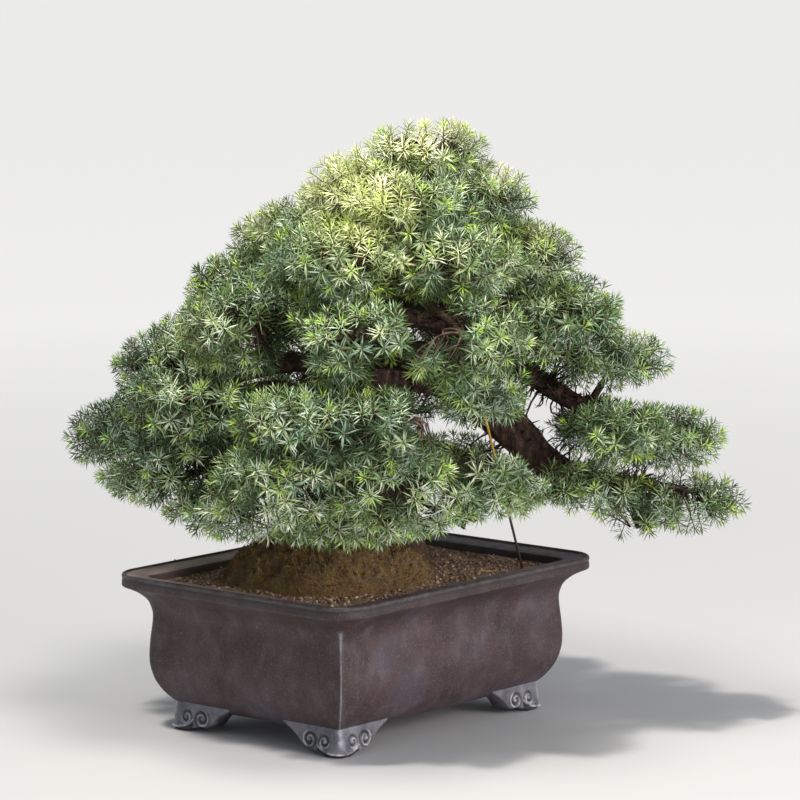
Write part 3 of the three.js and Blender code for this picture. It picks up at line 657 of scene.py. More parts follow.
def mound_surface(share, angle):
    """Height of a dome, steep at its edge and flat on top: H * (1 - share^2.6)^0.7, on an
    outline with a few lobes, with long and short waves added."""
    reach = share * (1 + 0.05 * np.sin(3 * angle) + 0.04 * np.cos(5 * angle + 1))
    right = MOUND_CENTRE[0] + MOUND_HALF[0] * reach * np.cos(angle)
    away = MOUND_CENTRE[1] + MOUND_HALF[1] * reach * np.sin(angle)
    rise = MOUND_HEIGHT * (1 - np.minimum(share, 1) ** 2.6) ** 0.7
    rise = np.where(share >= 1, MOUND_SUNK, rise) + relief(right, away, MOUND_RELIEF)
    lumps = 4.0 * crumbs(right, away, 26, 9) + 2.2 * crumbs(right, away, 10, 23)
    rise = rise + lumps * np.clip((1 - share) * 8, 0, 1)
    return planted(np.stack([right, away, SOIL_LEVEL + rise], axis=-1))


rings = np.concatenate([[1.0, 0.997], np.linspace(0.985, 0.02, MOUND_RINGS)])[:, None]
angles = np.linspace(0, 2 * np.pi, MOUND_SIDES, endpoint=False)[None, :]
mound = mound_surface(rings + 0 * angles, angles + 0 * rings)

# Dry moss: fine fibres that catch the light at their ends, so it looks soft and never shines
moss, tree, shader = new_material(
    "dry_moss", 0.95, IOR=1.4, Sheen_Weight=0.25, Sheen_Roughness=0.6)
patches = add_node(tree, "ValToRGB", {"Fac": blots(tree, 30.0, 4.0, roughness=0.6), "stops": [
    (0.3, "40301B"), (0.44, "6B4F29"), (0.54, "866629"), (0.64, "77732C"), (0.78, "9A9840"),
]})
fibres = add_node(tree, "ValToRGB", {"Fac": blots(tree, 2.2, 5.0, roughness=0.7), "stops": [
    (0.3, "2A1D10"), (0.52, "785A2C"), (0.75, "BC9C55"),
]})
tuft_tint = add_node(tree, "Attribute", {"attribute_name": "tint"}, "Fac")
tips = add_node(tree, "ValToRGB", {
    "Fac": tuft_tint,
    "stops": [(0.0, "35250F"), (0.5, "805F2B"), (0.8, "AE9646"), (1.0, "C0B662")]})
coloured = coats(tree, patches, [(0.4, fibres), (0.62, tips)])
dress(tree, shader, coloured, (blots(tree, 1.6, 5.0, roughness=0.7), 1.2, 0.9))
mound_faces = tube_faces(*mound.shape[:2])
mound_piece = add_piece("moss_mound_fur", mound, mound_faces, moss, "moss", ["moss_mound"])
add_values(mound_piece, "tint", np.full(mound.shape[:2], 0.25))
print("mound", len(mound_piece.data.polygons), "faces")

# %% Tufts of moss
MOSS_TUFTS = 15500
TUFT_POINTS = np.array([(1, 0, 0), (-0.5, 0.87, 0), (-0.5, -0.87, 0), (0.2, 0.1, 1.0)])
TUFT_FACES = np.array([(0, 2, 1), (0, 1, 3), (1, 2, 3), (2, 0, 3)])
share = draw.uniform(0, 1, MOSS_TUFTS) ** 0.5 * 0.985
angle = draw.uniform(0, 2 * np.pi, MOSS_TUFTS)
places = mound_surface(share, angle)
steep = share ** 3
slope = np.stack([np.cos(angle) * steep, np.sin(angle) * steep, 0.55 + 0 * share], axis=-1)
lean = planted(slope) + draw.normal(0, 0.45, (MOSS_TUFTS, 3))
lean[:, 2] = np.abs(lean[:, 2]) + 0.1
tuft_length = draw.uniform(1.6, 5.6, (MOSS_TUFTS, 1))
tuft_sizes = np.concatenate([draw.uniform(0.3, 0.6, (MOSS_TUFTS, 1))] * 2 + [tuft_length], axis=1)
fur = copies(TUFT_POINTS, TUFT_FACES, places - 0.5 * unit(lean), tuft_sizes,
             frames_along(lean, draw.uniform(0, 6.3, MOSS_TUFTS)))
fur_piece = add_piece("moss_tufts", *fur, moss, "moss", ["moss_mound"], smooth=False)
in_tree = places @ TREE_AXES.T
clump = 0.48 + 0.2 * crumbs(places[:, 0], places[:, 1], 40, 12)
clump = clump + 0.34 * crumbs(in_tree[:, 0], in_tree[:, 1], 10, 23)
tint = np.clip(clump + draw.normal(0, 0.14, MOSS_TUFTS), 0, 1)
add_values(fur_piece, "tint", np.repeat(tint, len(TUFT_POINTS)))
print("moss", len(fur_piece.data.polygons), "faces")

# %% [markdown]
# ## Litter
# Old needles lie where they fell, brown and bent, with a few bits of twig and two
# small dead leaves. A leaf is a flat tube: narrow at both ends, wide in the
# middle, and curled.

# %% Shapes of the litter
draw = np.random.default_rng(305)
DEAD_NEEDLES = 420
LITTER_RISE = 1.2
# Right, away, heading, length, half width or radius, curl for the leaves, and tint
DEAD_LEAVES = [(-127, 3, 0.5, 24, 6.5, 5, 0.95), (-156, 42, 2.2, 17, 5, 3, 0.3)]
BITS_OF_TWIG = [
    (-102, -29, 0.3, 26, 0.8, 1.0), (-88, -14, -0.5, 15, 0.6, 0.9), (96, -34, 1.1, 30, 0.9, 0.7),
    (128, 8, 2.6, 18, 0.7, 0.85),
]


def flat_tube(path, half_widths, half_thickness, around=8):
    """Ellipses along a path that lies nearly level: the wide axis is level and across the
    path, the thin one is upright."""
    along = unit(np.gradient(path, axis=0))
    across = unit(np.cross(along, [0, 0, 1]))
    upright = np.cross(across, along)
    angle = np.linspace(0, 2 * np.pi, around, endpoint=False)[None, :, None]
    rings = half_widths[:, None, None] * np.cos(angle) * across[:, None]
    rings = rings + half_thickness * np.sin(angle) * upright[:, None]
    return path[:, None] + rings, tube_faces(len(path), around)


def lying_line(right, away, long, headings):
    """A line on the soil from a place given right and away; it turns to each heading in turn."""
    steps = np.stack([np.cos(headings), np.sin(headings), 0 * headings], axis=1)
    steps = steps * long / (len(headings) - 1)
    return np.cumsum(steps, axis=0) + [right, away, SOIL_TOP + LITTER_RISE]


print("litter tools ready")

# %% Where the litter lies
lying = on_soil(DEAD_NEEDLES, 1.1)
on_moss = draw.uniform(0, 1, (2, DEAD_NEEDLES // 2))
on_moss = mound_surface(on_moss[0] ** 0.5 * 0.97, on_moss[1] * 2 * np.pi) + [0, 0, 2.2]
lying = np.concatenate([lying, on_moss])
way = unit(draw.normal(0, 1, lying.shape) * [1, 1, 0.16])
thick = np.full(len(way), 0.5)
size = np.stack([thick, thick, draw.uniform(6, 12, len(way))], axis=1)
straw_turns = frames_along(way, draw.uniform(0, 6, len(way)))
strewn = [copies(TUFT_POINTS, TUFT_FACES, lying - way * 4, size, straw_turns)]
tints = [np.repeat(draw.uniform(0, 0.7, len(way)), len(TUFT_POINTS))]
for right, away, heading, long, wide, curl, tint in DEAD_LEAVES:
    t = np.linspace(0, 1, 14)
    spine = lying_line(right, away, long, heading + 0.5 * t)
    spine[:, 2] += curl * (2 * t - 1) ** 2
    strewn.append(flat_tube(planted(spine), 0.4 + wide * np.sin(np.pi * t ** 0.8), 0.45))
    tints.append(np.full(strewn[-1][0].size // 3, tint))
for right, away, heading, long, radius, tint in BITS_OF_TWIG:
    t = np.linspace(0, 1, 9)
    spine = lying_line(right, away, long, heading + 0.7 * np.sin(3 * t))
    strewn.append(flat_tube(planted(spine), radius * (1.1 - 0.7 * t), radius))
    tints.append(np.full(strewn[-1][0].size // 3, tint))
print("litter", len(strewn), "meshes")

# %% The litter
# Dead needles and leaves: dry and brown, streaked with grey, and almost without shine
litter_cover, tree, shader = new_material("dry_litter", 0.8, IOR=1.4)
dryness = add_node(tree, "Attribute", {"attribute_name": "tint"}, "Fac")
straw_colour = add_node(tree, "ValToRGB", {
    "Fac": dryness,
    "stops": [(0.0, "4A2C18"), (0.35, "8A5A30"), (0.7, "B98A54"), (1.0, "E0C396")]})
streaks = add_node(tree, "ValToRGB", {
    "Fac": blots(tree, 3.0, 5.0),
    "stops": [(0.35, "8A8A8A"), (0.65, "FFFFFF")]})
straw_colour = add_node(tree, "Mix", {
    "data_type": "RGBA", "blend_type": "MULTIPLY", 0: 0.8, 6: straw_colour, 7: streaks,
}, 2)
dress(tree, shader, straw_colour, (blots(tree, 1.2, 4.0), 0.3, 0.7))
litter = add_piece("litter", *several(strewn), litter_cover, "potting_soil", ["soil"])
add_values(litter, "tint", np.concatenate(tints))
print("litter", len(litter.data.polygons), "faces")

# %% [markdown]
# ## The wood
# A juniper's trunk is fluted and sheds its bark in long fibrous strips. A limb
# is a ring of points carried along a smooth path. Ridges are a share of the
# radius: waves round the ring whose phase drifts along the path, so the strips
# run lengthways and wander.

# %% Where the wood runs
TRUNK = [
    (26, 0, 64, 13), (26, 0, 98, 29), (25, 0, 130, 40), (21, 0, 162, 34), (8, -2, 205, 28),
    (-14, -4, 252, 26), (-28, -6, 300, 23), (-16, -4, 345, 19), (22, 0, 380, 15.5),
    (54, 4, 412, 12.5), (68, 2, 455, 8.5), (66, 0, 508, 3.2),
]
LIMBS = {
    "low_limb": [
        (-26, -4, 296, 17), (30, 6, 318, 17), (86, 6, 308, 17), (128, 0, 274, 16.5),
        (170, -4, 236, 14), (214, -4, 218, 9), (258, 0, 216, 6), (292, 2, 208, 3),
    ],
    "high_limb": [
        (20, 2, 372, 11), (66, 16, 366, 11), (112, 22, 346, 10), (156, 16, 314, 9),
        (200, 10, 288, 7), (244, 8, 280, 5), (282, 8, 268, 3),
    ],
    "left_limb": [
        (-26, -6, 282, 13), (-70, 2, 296, 12), (-116, 6, 290, 10), (-160, 8, 276, 7),
        (-204, 10, 268, 3),
    ],
}
# What carries each spray, and how far along it the spray's branch leaves
CARRIED_BY_TRUNK = {
    "crown_top": 1, "crown_left": 0.9, "crown_right": 0.9, "crown_front": 0.87, "crown_back": 0.87,
    "shoulder_left": 0.82, "shoulder_left_front": 0.8, "shoulder_right_front": 0.82,
    "shoulder_right": 0.84, "shoulder_right_back": 0.82, "shoulder_back": 0.8,
    "shoulder_left_back": 0.78, "upper_left": 0.74, "upper_left_front": 0.72, "upper_front": 0.72,
    "upper_front_right": 0.74, "upper_right": 0.76, "upper_right_back": 0.76,
    "upper_back_right": 0.72, "upper_back_left": 0.7, "upper_left_back": 0.7,
    "middle_left_front": 0.6, "middle_front_left": 0.56, "middle_front": 0.56,
    "middle_front_right": 0.6, "middle_back_right": 0.6, "middle_back_left": 0.58,
    "middle_left_back": 0.58, "low_left_front": 0.5, "low_front_left": 0.48, "low_front": 0.48,
    "low_front_right": 0.48, "low_back_left": 0.5, "low_back": 0.5, "skirt_left": 0.45,
    "skirt_left_front": 0.42, "skirt_front": 0.4, "skirt_front_right": 0.4, "skirt_right": 0.42,
    "skirt_back_left": 0.42, "skirt_back_right": 0.42,
}
CARRIED_BY_LIMBS = {
    "middle_left": ("left_limb", 0.45), "low_tip_left": ("left_limb", 1),
    "low_left_back": ("left_limb", 0.6), "limb_top": ("high_limb", 0.7),
    "limb_inner": ("high_limb", 0.72), "limb_far": ("high_limb", 1),
    "limb_behind": ("high_limb", 0.76),
    "limb_low": ("low_limb", 0.72), "limb_tip": ("low_limb", 1), "limb_drop": ("low_limb", 0.8),
}
STEPS_BETWEEN_ROWS = 200
BRANCH_TIP_RADIUS = 2.0
ROWS_OF = {"trunk": TRUNK, **LIMBS}
CARRIERS = {name: ("trunk", share) for name, share in CARRIED_BY_TRUNK.items()} | CARRIED_BY_LIMBS
print(len(CARRIERS), "sprays on", len(ROWS_OF), "lengths of wood")

# %% Bark carried along a path
def bark_tube(path, radii, around, ridge, seed):
    """Rings carried along a path: radius * (1 + ridge * waves), where the waves go
    a whole number of times round and drift along; returns points and faces."""
    along = np.gradient(path, axis=0)
    span = unit(path[-1] - path[0])
    level = np.eye(3)[np.argmin(np.abs(span))]
    tangent = unit(along)
    normal = unit(np.cross(level, tangent))
    other = np.cross(tangent, normal)
    turn = np.linspace(0, 2 * np.pi, around, endpoint=False)[None, :]
    far = np.cumsum(np.linalg.norm(along, axis=1))[:, None]
    phase = np.random.default_rng(seed).uniform(0, 6.3, 4)
    flutes = 0.9 * np.cos(3 * turn + far / 90 + phase[0])
    flutes = flutes + 0.5 * np.cos(5 * turn - far / 60 + phase[1])
    strips = np.abs(np.cos(6 * turn + far / 38 + 0.6 * np.sin(far / 17) + phase[2]))
    fibres = np.abs(np.cos(11 * turn - far / 31 + 0.8 * np.sin(far / 11) + phase[3]))
    knots = np.sin(far / 23 + phase[0]) * np.cos(turn - phase[1])
    factor = 1 + ridge * (flutes + 0.9 * strips + 0.5 * fibres + 0.5 * knots - 0.8)
    ring = np.cos(turn)[..., None] * normal[:, None] + np.sin(turn)[..., None] * other[:, None]
    points = path[:, None] + (radii[:, None] * factor)[..., None] * ring
    return points, tube_faces(*points.shape[:2])


def branch_path(name, steps):
    """Quadratic Bezier from the carrier to the spray's middle, whose middle point is
    raised by a tenth of the length; the radius falls evenly to the tip."""
    carrier, share = CARRIERS[name]
    steps_in_all = STEPS_BETWEEN_ROWS * (len(ROWS_OF[carrier]) - 1)
    row = smooth_rows(ROWS_OF[carrier], 1 + steps_in_all)[int(round(share * steps_in_all))]
    start, carrier_radius = planted(row[:3]), row[3]
    end = spray_middle[name]
    length = np.linalg.norm(end - start)
    middle = (start + end) / 2 + [0, 0, 0.1 * length]
    t = np.linspace(0, 1, steps)[:, None]
    path = (1 - t) ** 2 * start + 2 * t * (1 - t) * middle + t ** 2 * end
    thick = min(2.6 + 0.03 * length, 0.8 * carrier_radius)
    return path, thick + (BRANCH_TIP_RADIUS - thick) * t[:, 0]


print("bark tools ready")

# %% Trunk, limbs and branches
spray_box = {name: (np.array(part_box("spray_" + name)) - POT_MIDDLE) / MM for name in CARRIERS}
spray_middle = {name: corners.mean(axis=0) for name, corners in spray_box.items()}
trunk_rows = smooth_rows(TRUNK, 170)
wood = [bark_tube(planted(trunk_rows[:, :3]), trunk_rows[:, 3], 60, 0.07, 1)]
for number, rows in enumerate(LIMBS.values()):
    fine = smooth_rows(rows, 120)
    wood.append(bark_tube(planted(fine[:, :3]), fine[:, 3], 40, 0.12, 10 + number))
branches = {name: branch_path(name, 20) for name in CARRIERS}
for number, (path, radii) in enumerate(branches.values()):
    wood.append(bark_tube(path, radii, 12, 0.06, 30 + number))
print("wood", len(wood), "tubes")

# %% Juniper bark
# Old bark is dry fibre: matt, dark red-brown, and streaked along the limb as the strips peel
bark, tree, shader = new_material("juniper_bark", 0.85, IOR=1.45)
strips = blots(tree, 5.0, 6.0, (1, 1, 0.25), 0.65)
bark_colour = add_node(tree, "ValToRGB", {"Fac": strips, "stops": [
    (0.28, "1A110D"), (0.42, "2C1F19"), (0.54, "443128"), (0.66, "604A3D"), (0.8, "826D5F"),
]})
place = add_node(tree, "TexCoord", {}, "Object")
height = add_node(tree, "SeparateXYZ", {"Vector": place}, "Z")
mossy_foot = add_node(tree, "ValToRGB", {
    "Fac": height,
    "stops": [(0.155, "B0B0B0"), (0.19, "000000")]})
bark_colour = coats(tree, bark_colour, [(mossy_foot, "4E3C1C")])
dress(tree, shader, bark_colour, (blots(tree, 1.8, 6.0, (1, 1, 0.3), 0.7), 1.4, 1.0))
wood_piece = add_piece("trunk_and_branches", *several(wood), bark, "bark", ["trunk"])
print("wood", len(wood_piece.data.polygons), "faces")

# %% [markdown]
# ## Shoots of needles
# This juniper's needles stand in whorls of three round each shoot: wide apart
# and bent back low down, closer and steeper towards the tip. Seen from its end
# a shoot is a star. A needle is a slim closed shape of four points and four
# triangles: base, tip, and two edges that rise a little, which leaves a keel
# below. Its upper side has a pale waxy bloom and its lower side is green.

# %% One array of needles for all shoots
NEEDLE_LENGTH, NEEDLE_WIDTH, NEEDLE_DEPTH, WIDEST_AT = 13.5, 1.22, 0.55, 0.42
WHORLS = 8
WHORL_STEP = 1.7
NEEDLE_FACES = np.array([(0, 1, 2), (1, 3, 2), (0, 3, 1), (0, 2, 3)])
NEEDLE_POINTS = 4


def needles_on(places, axes, sizes, draw):
    """Needle points for shoots: base, two edge points and tip. A needle's way out is
    cos(a) * shoot axis + sin(a) * radius, where a falls from low whorl to tip."""
    count = len(places)
    frames = frames_along(axes, draw.uniform(0, 6.3, count))
    step = np.arange(WHORLS) / (WHORLS - 1)
    slope = np.radians(97 - 66 * step ** 1.5)[None, :, None]
    slope = slope + draw.normal(0, 0.13, (count, WHORLS, 3))
    third = np.arange(3) * 2 * np.pi / 3
    turn = third + (np.arange(WHORLS) * np.pi / 3)[:, None]
    turn = turn + draw.normal(0, 0.16, (count, WHORLS, 3))
    long = NEEDLE_LENGTH * sizes[:, None, None] * (1 - 0.4 * step ** 5)[None, :, None]
    long = long * draw.uniform(0.86, 1.08, (count, WHORLS, 3))
    across, other, axis = (frames[:, None, None, k] for k in range(3))
    radial = np.cos(turn)[..., None] * across + np.sin(turn)[..., None] * other
    out = np.cos(slope)[..., None] * axis + np.sin(slope)[..., None] * radial
    upper = np.sin(slope)[..., None] * axis - np.cos(slope)[..., None] * radial
    wide = np.cross(out, upper)
    stem = places[:, None, None] + axis * (np.arange(WHORLS) * WHORL_STEP)[None, :, None, None]
    base = stem + 0.5 * radial
    widest = base + out * (long * WIDEST_AT)[..., None] + NEEDLE_DEPTH * upper
    half = NEEDLE_WIDTH / 2 * wide
    return np.stack([base, widest + half, widest - half, base + out * long[..., None]], axis=3)


print("needle tools ready")

# %% [markdown]
# ## Where the shoots stand
# Each spray is a low dome that hangs down to the spray below it. To make the
# domes grow together, every spray adds to a fullness that is felt all around it,
# and the tree's skin lies where the sum has a set level. Rays from the middle of
# each spray find the skin. The first layer of shoots stands on it, and a second
# one a little deeper. Last come the shoots along the branches and the limbs, in
# the shade inside.

# %% A dome for every spray
DOME_INSET, DOME_TOP, DOME_HANG = 8.0, 9.0, 30.0
MERGING, SKIN_LEVEL = 0.85, 1.5
USUAL_DOME = (50, 50, 26)
GOLDEN_ANGLE = 2.39996
RAY_SHARES = np.linspace(0.5, 1.9, 36)[None, :, None]
TRUNK_FOOT = planted(TRUNK[0][:3])
cad_low, cad_high = ((np.array(corner) - POT_MIDDLE) / MM for corner in cad_box)
# Where a dome sits a little off its box's middle: right, away, up
SET_OFF = {
    "crown_top": (0, 0, -8), "crown_left": (15, 0, -5), "crown_right": (-13, 0, -4),
    "shoulder_left": (26, 0, 1), "shoulder_left_back": (10, 0, -8), "upper_left": (9, 0, 3),
    "upper_left_back": (20, 0, 2), "middle_left_back": (10, 0, 14), "middle_back_left": (-10, 0, 0),
    "shoulder_right": (-10, 0, 0), "shoulder_right_back": (-6, 0, -4), "upper_right": (-11, 0, 0),
    "upper_right_back": (-8, 0, -3), "middle_left": (-8, 0, 0), "low_tip_left": (1, 0, -3),
    "skirt_left": (0, 0, 13), "skirt_left_front": (10, 0, 3), "skirt_front_right": (-2, 0, 10),
    "skirt_right": (17, 0, 14), "low_front_right": (5, 0, 0), "limb_top": (-3, 0, 2),
    "limb_far": (-3, 0, -8), "limb_tip": (-1, 0, -10), "limb_drop": (-2, 0, 9),
    "limb_low": (-6, 0, -8),
}
middles = np.array([
    spray_middle[name] + planted(SET_OFF.get(name, (0, 0, 0))) for name in CARRIERS])
halves = np.array([(spray_box[name][1] - spray_box[name][0]) / 2 for name in CARRIERS])
widths = halves[:, :2].mean(axis=1) - DOME_INSET
tops = halves[:, 2] - DOME_TOP
apart = middles[None] - middles[:, None]
below = (np.hypot(apart[..., 0], apart[..., 1]) < 80) & (np.abs(apart[..., 2] + 55) < 35)
on_edge = np.array([name.startswith(("limb", "skirt")) for name in CARRIERS])
hangs = np.where(below.any(axis=1) & ~on_edge, DOME_HANG, np.where(on_edge, 0.75, 1.0) * tops)
print("domes", len(middles))

# %% The openings between the domes
# Dark openings that show wood, or what is behind: right, away, up, and their half sizes.
# They run down a little on the way back, by the slope of a look from in front.
OPENINGS = np.array([
    (133, -30, 266, 22, 170, 15), (153, -10, 258, 18, 190, 33), (158, -10, 303, 18, 150, 10),
    (70, -60, 271, 27, 220, 10), (98, -40, 268, 19, 220, 12), (125, -40, 255, 18, 200, 17),
    (43, -62, 498, 13, 30, 9), (94, -50, 492, 15, 34, 10), (-63, -122, 394, 24, 45, 9),
    (-80, -150, 352, 18, 48, 9), (-51, -158, 337, 16, 50, 11), (24, -172, 327, 13, 55, 8),
    (80, -120, 384, 13, 50, 9), (43, -130, 380, 10, 50, 8), (-136, -120, 309, 22, 46, 9),
    (65, -170, 293, 17, 55, 8), (79, -20, 350, 15, 220, 8), (131, 0, 392, 13, 200, 9),
    (136, -20, 324, 11, 200, 9), (65, -60, 209, 13, 170, 9), (-203, -60, 271, 28, 50, 9),
    (-10, 150, 364, 26, 45, 12), (-120, 90, 348, 24, 45, 12), (110, 120, 421, 24, 45, 12),
    (60, 170, 307, 30, 45, 12), (350, 0, 226, 30, 60, 13), (118, -110, 187, 36, 60, 9),
    (-197, -10, 241, 24, 70, 8),
])
OPENING_SLOPE, OPENING_WEIGHT = 0.14, 7.0
print("openings", len(OPENINGS))

# %% The skin of the tree
def from_middles(points):
    """Each point seen from each spray's middle, in units of the dome's half sizes: 1 is on
    the dome. A dome is the top half of one ellipsoid and the lower half of a deeper one."""
    offset = points[..., None, :] - middles
    tall = np.where(offset[..., 2] > 0, tops, hangs)
    return offset / np.stack([widths + 0 * tall, widths + 0 * tall, tall], axis=-1)


def shares(points):
    """What each spray adds to the fullness: weight * exp(merging * (1 - distance^2))."""
    return weights * np.exp(MERGING * (1 - (from_middles(points) ** 2).sum(axis=-1)))


def fullness(points):
    """The sum of all sprays' shares, less the same sort of sum over the openings, with
    distances in units of their half sizes."""
    in_tree = points @ TREE_AXES.T
    in_tree[..., 2] += OPENING_SLOPE * in_tree[..., 1]
    away_from = (in_tree[..., None, :] - OPENINGS[:, :3]) / OPENINGS[:, 3:]
    empty = OPENING_WEIGHT * np.exp(2 * (1 - (away_from ** 2).sum(axis=-1)))
    return shares(points).sum(axis=-1) - empty.sum(axis=-1)


def skin_way(points):
    """The way the fullness falls fastest: straight out of the skin."""
    pulls = shares(points)[..., None] * from_middles(points) / USUAL_DOME
    return unit(pulls.sum(axis=-2))


def skin_from(index, tried):
    """Even rays, i golden angles round and i steps up, each out to where the fullness
    falls below the skin's level; kept if this spray is the nearest one there."""
    i = np.arange(tried)
    up = 1 - (i + 0.5) / tried * 1.96
    turn = i * GOLDEN_ANGLE + draw.uniform(0, 6.3)
    flat = np.sqrt(1 - up ** 2) * widths[index]
    tall = np.where(up > 0, tops[index], hangs[index])
    ray = np.stack([flat * np.cos(turn), flat * np.sin(turn), up * tall], axis=1)
    along = middles[index] + ray[:, None] * RAY_SHARES
    outside = fullness(along) < SKIN_LEVEL
    skin = along[i, outside.argmax(axis=1)]
    nearest = (from_middles(skin) ** 2).sum(axis=-1).argmin(axis=-1)
    return skin[outside.any(axis=1) & (nearest == index)]


def thinned(places, owner, spacing):
    """At most one place in each cube of the spacing."""
    _, first = np.unique(np.floor(places / spacing), axis=0, return_index=True)
    return places[first], owner[first]


# Every spray weighs just enough for the skin to pass through its outermost point
weights = np.ones(len(middles))
outwards = unit((middles - TRUNK_FOOT) * [1, 1, 0])
at_outermost = shares(middles + outwards * widths[:, None]) * (1 - np.eye(len(middles)))
weights = np.clip(SKIN_LEVEL - at_outermost.sum(axis=1), 0.6, 1.5)
print("skin tools ready")

# %% Places for the shoots
RAYS_PER_SPRAY = 300
LAYERS = [(0.0, 13.5), (13.0, 15.0)]
SHOOTS_PER_BRANCH = 24
SHOOTS_PER_LIMB = {"low_limb": 80, "high_limb": 130, "left_limb": 70}
RAGGED_FROM = 1.05
draw = np.random.default_rng(2468)
skin = [skin_from(index, RAYS_PER_SPRAY) for index in range(len(middles))]
owner = np.repeat(np.arange(len(middles)), [len(one) for one in skin])
skin = np.concatenate(skin)
mixed_up = draw.permutation(len(skin))
skin, owner = skin[mixed_up], owner[mixed_up]


def branch_places(name):
    """Places at random shares of the branch, 8 to 30 mm from it."""
    path = branches[name][0]
    long = np.linalg.norm(path[-1] - path[0])
    count = int(SHOOTS_PER_BRANCH * np.clip((long - 50) / 90, 0, 1))
    start = path[(draw.uniform(0.25, 0.95, count) * (len(path) - 1)).astype(int)]
    aside = unit(draw.normal(0, 1, (count, 3)) * [1, 1, 0.75] + [0, 0, 0.35])
    return start + aside * draw.uniform(8, 30, (count, 1))


def limb_places(name):
    """Places round a limb, from its first fifth to its last, 5 to 24 mm off its bark."""
    rows = smooth_rows(ROWS_OF[name], 80)[draw.integers(16, 70, SHOOTS_PER_LIMB[name])]
    aside = unit(draw.normal(0, 1, (len(rows), 3)))
    return planted(rows[:, :3]) + aside * (rows[:, 3:4] + draw.uniform(5, 24, (len(rows), 1)))


def ragged(points):
    """Waves in random directions of space, 28 to 60 mm long: their sum, about -2 to 2."""
    number = 16
    heading = unit(draw.normal(size=(number, 3))) / draw.uniform(28, 60, (number, 1))
    phase = draw.uniform(0, 2 * np.pi, number)
    return np.sin(2 * np.pi * points @ heading.T + phase).sum(axis=1) / (number / 2) ** 0.5


def kept_inside(points):
    """Moves each shoot by what it sticks out of the modelled tree's box."""
    lowest, highest = points.min(axis=(1, 2, 3)), points.max(axis=(1, 2, 3))
    return np.maximum(cad_low - lowest, 0) + np.minimum(cad_high - highest, 0)


print("skin", len(skin), "points")

# %% Shoots that are kept
INSIDE_LAYER = len(LAYERS)
placed = []
for layer, (depth, spacing) in enumerate(LAYERS):
    here, owned = thinned(skin - depth * skin_way(skin), owner, spacing)
    placed.append((here, owned, np.full(len(here), layer)))
for index, name in enumerate(CARRIERS):
    here = branch_places(name)
    placed.append((here, np.full(len(here), index), np.full(len(here), INSIDE_LAYER)))
for name in SHOOTS_PER_LIMB:
    here = limb_places(name)
    owned = (from_middles(here) ** 2).sum(axis=-1).argmin(axis=-1)
    placed.append((here, owned, np.full(len(here), INSIDE_LAYER)))
all_places, whose, layer_of = (np.concatenate(column) for column in zip(*placed))
full_enough = fullness(all_places) > 0.8 * SKIN_LEVEL
kept = full_enough & ((ragged(all_places) < RAGGED_FROM) | (layer_of == INSIDE_LAYER))
all_places, whose, layer_of = all_places[kept], whose[kept], layer_of[kept]
print("places", len(all_places), "of them on the skin", int((layer_of == 0).sum()))

# %% Shoots for every spray
shoots = {}
for index, name in enumerate(CARRIERS):
    own = whose == index
    places, layer = all_places[own], layer_of[own]
    outward = unit((spray_middle[name] - TRUNK_FOOT) * [1, 1, 0])
    axes = skin_way(places) + 0.25 * outward + [0, 0, 0.35]
    axes = unit(axes + draw.normal(0, 0.27, axes.shape))
    points = needles_on(places, axes, draw.uniform(0.86, 1.08, len(places)), draw)
    shift = kept_inside(points)
    shoots[name] = (places + shift, axes, points + shift[:, None, None, None], layer)
print("shoots on", len(shoots), "sprays")

# %% [markdown]
# ## A needle's colours
# Four numbers ride on every face corner: how much bloom the face has, a tint for
# the needle, how lime it is as a young tip, and how far along it the corner lies.
# The tint is partly chance and partly painted light and shade, and both bloom
# and tint are lowered in the deeper layers as painted shade. One more, the same
# for a whole needle, is painted sunlight: it makes needles lighter and yellower
# in patches of the crown, the more so where they face the light. A needle also
# has its own small patch of the UV map, so that its colours can be baked to a
# picture without touching its neighbour's.

# %% The needles' material
# A needle is a smooth living leaf under a thin wax, so it has a soft satin shine
needle_green, tree, shader = new_material("juniper_needle", 0.42, IOR=1.45)
values = add_node(tree, "Attribute", {"attribute_name": "needle"}).node
parts = add_node(tree, "SeparateColor", {"Color": values.outputs["Color"]}).node
# Red is the bloom, lowered by painted shade; green is a tint, partly chance and partly painted
# light and shade
bloom_with_painted_shade, tint_with_painted_light_and_shade, lime = (parts.outputs[channel] for channel in ("Red", "Green", "Blue"))
along = values.outputs["Alpha"]
sun = add_node(tree, "Attribute", {"attribute_name": "sun"}, "Fac")
green = add_node(tree, "ValToRGB", {
    "Fac": tint_with_painted_light_and_shade,
    "stops": [(0.0, "243A1B"), (0.35, "3B5C2A"), (0.7, "5A7C39"), (1.0, "86A050")]})
waxy = add_node(tree, "ValToRGB", {
    "Fac": tint_with_painted_light_and_shade,
    "stops": [(0.0, "7F9E8C"), (0.5, "B2CBB6"), (1.0, "E8EEDC")]})
# Painted sunlight: pale yellow-greens for the needles that the sun falls on
painted_sunlit_colours = add_node(tree, "ValToRGB", {
    "Fac": tint_with_painted_light_and_shade,
    "stops": [(0.0, "869B44"), (0.5, "C3CB80"), (1.0, "F6F2CE")]})
tip = add_node(tree, "ValToRGB", {
    "Fac": along,
    "stops": [(0.0, "FFFFFF"), (0.12, "000000"), (0.93, "000000"), (1.0, "FFFFFF")]})
tip = coats(tree, "000000", [(0.7, tip)])
dress(tree, shader, coats(tree, green, [
    (bloom_with_painted_shade, waxy), (sun, painted_sunlit_colours), (lime, "A6C83F"), (tip, "B7A35A"),
]))
print("needle material made")

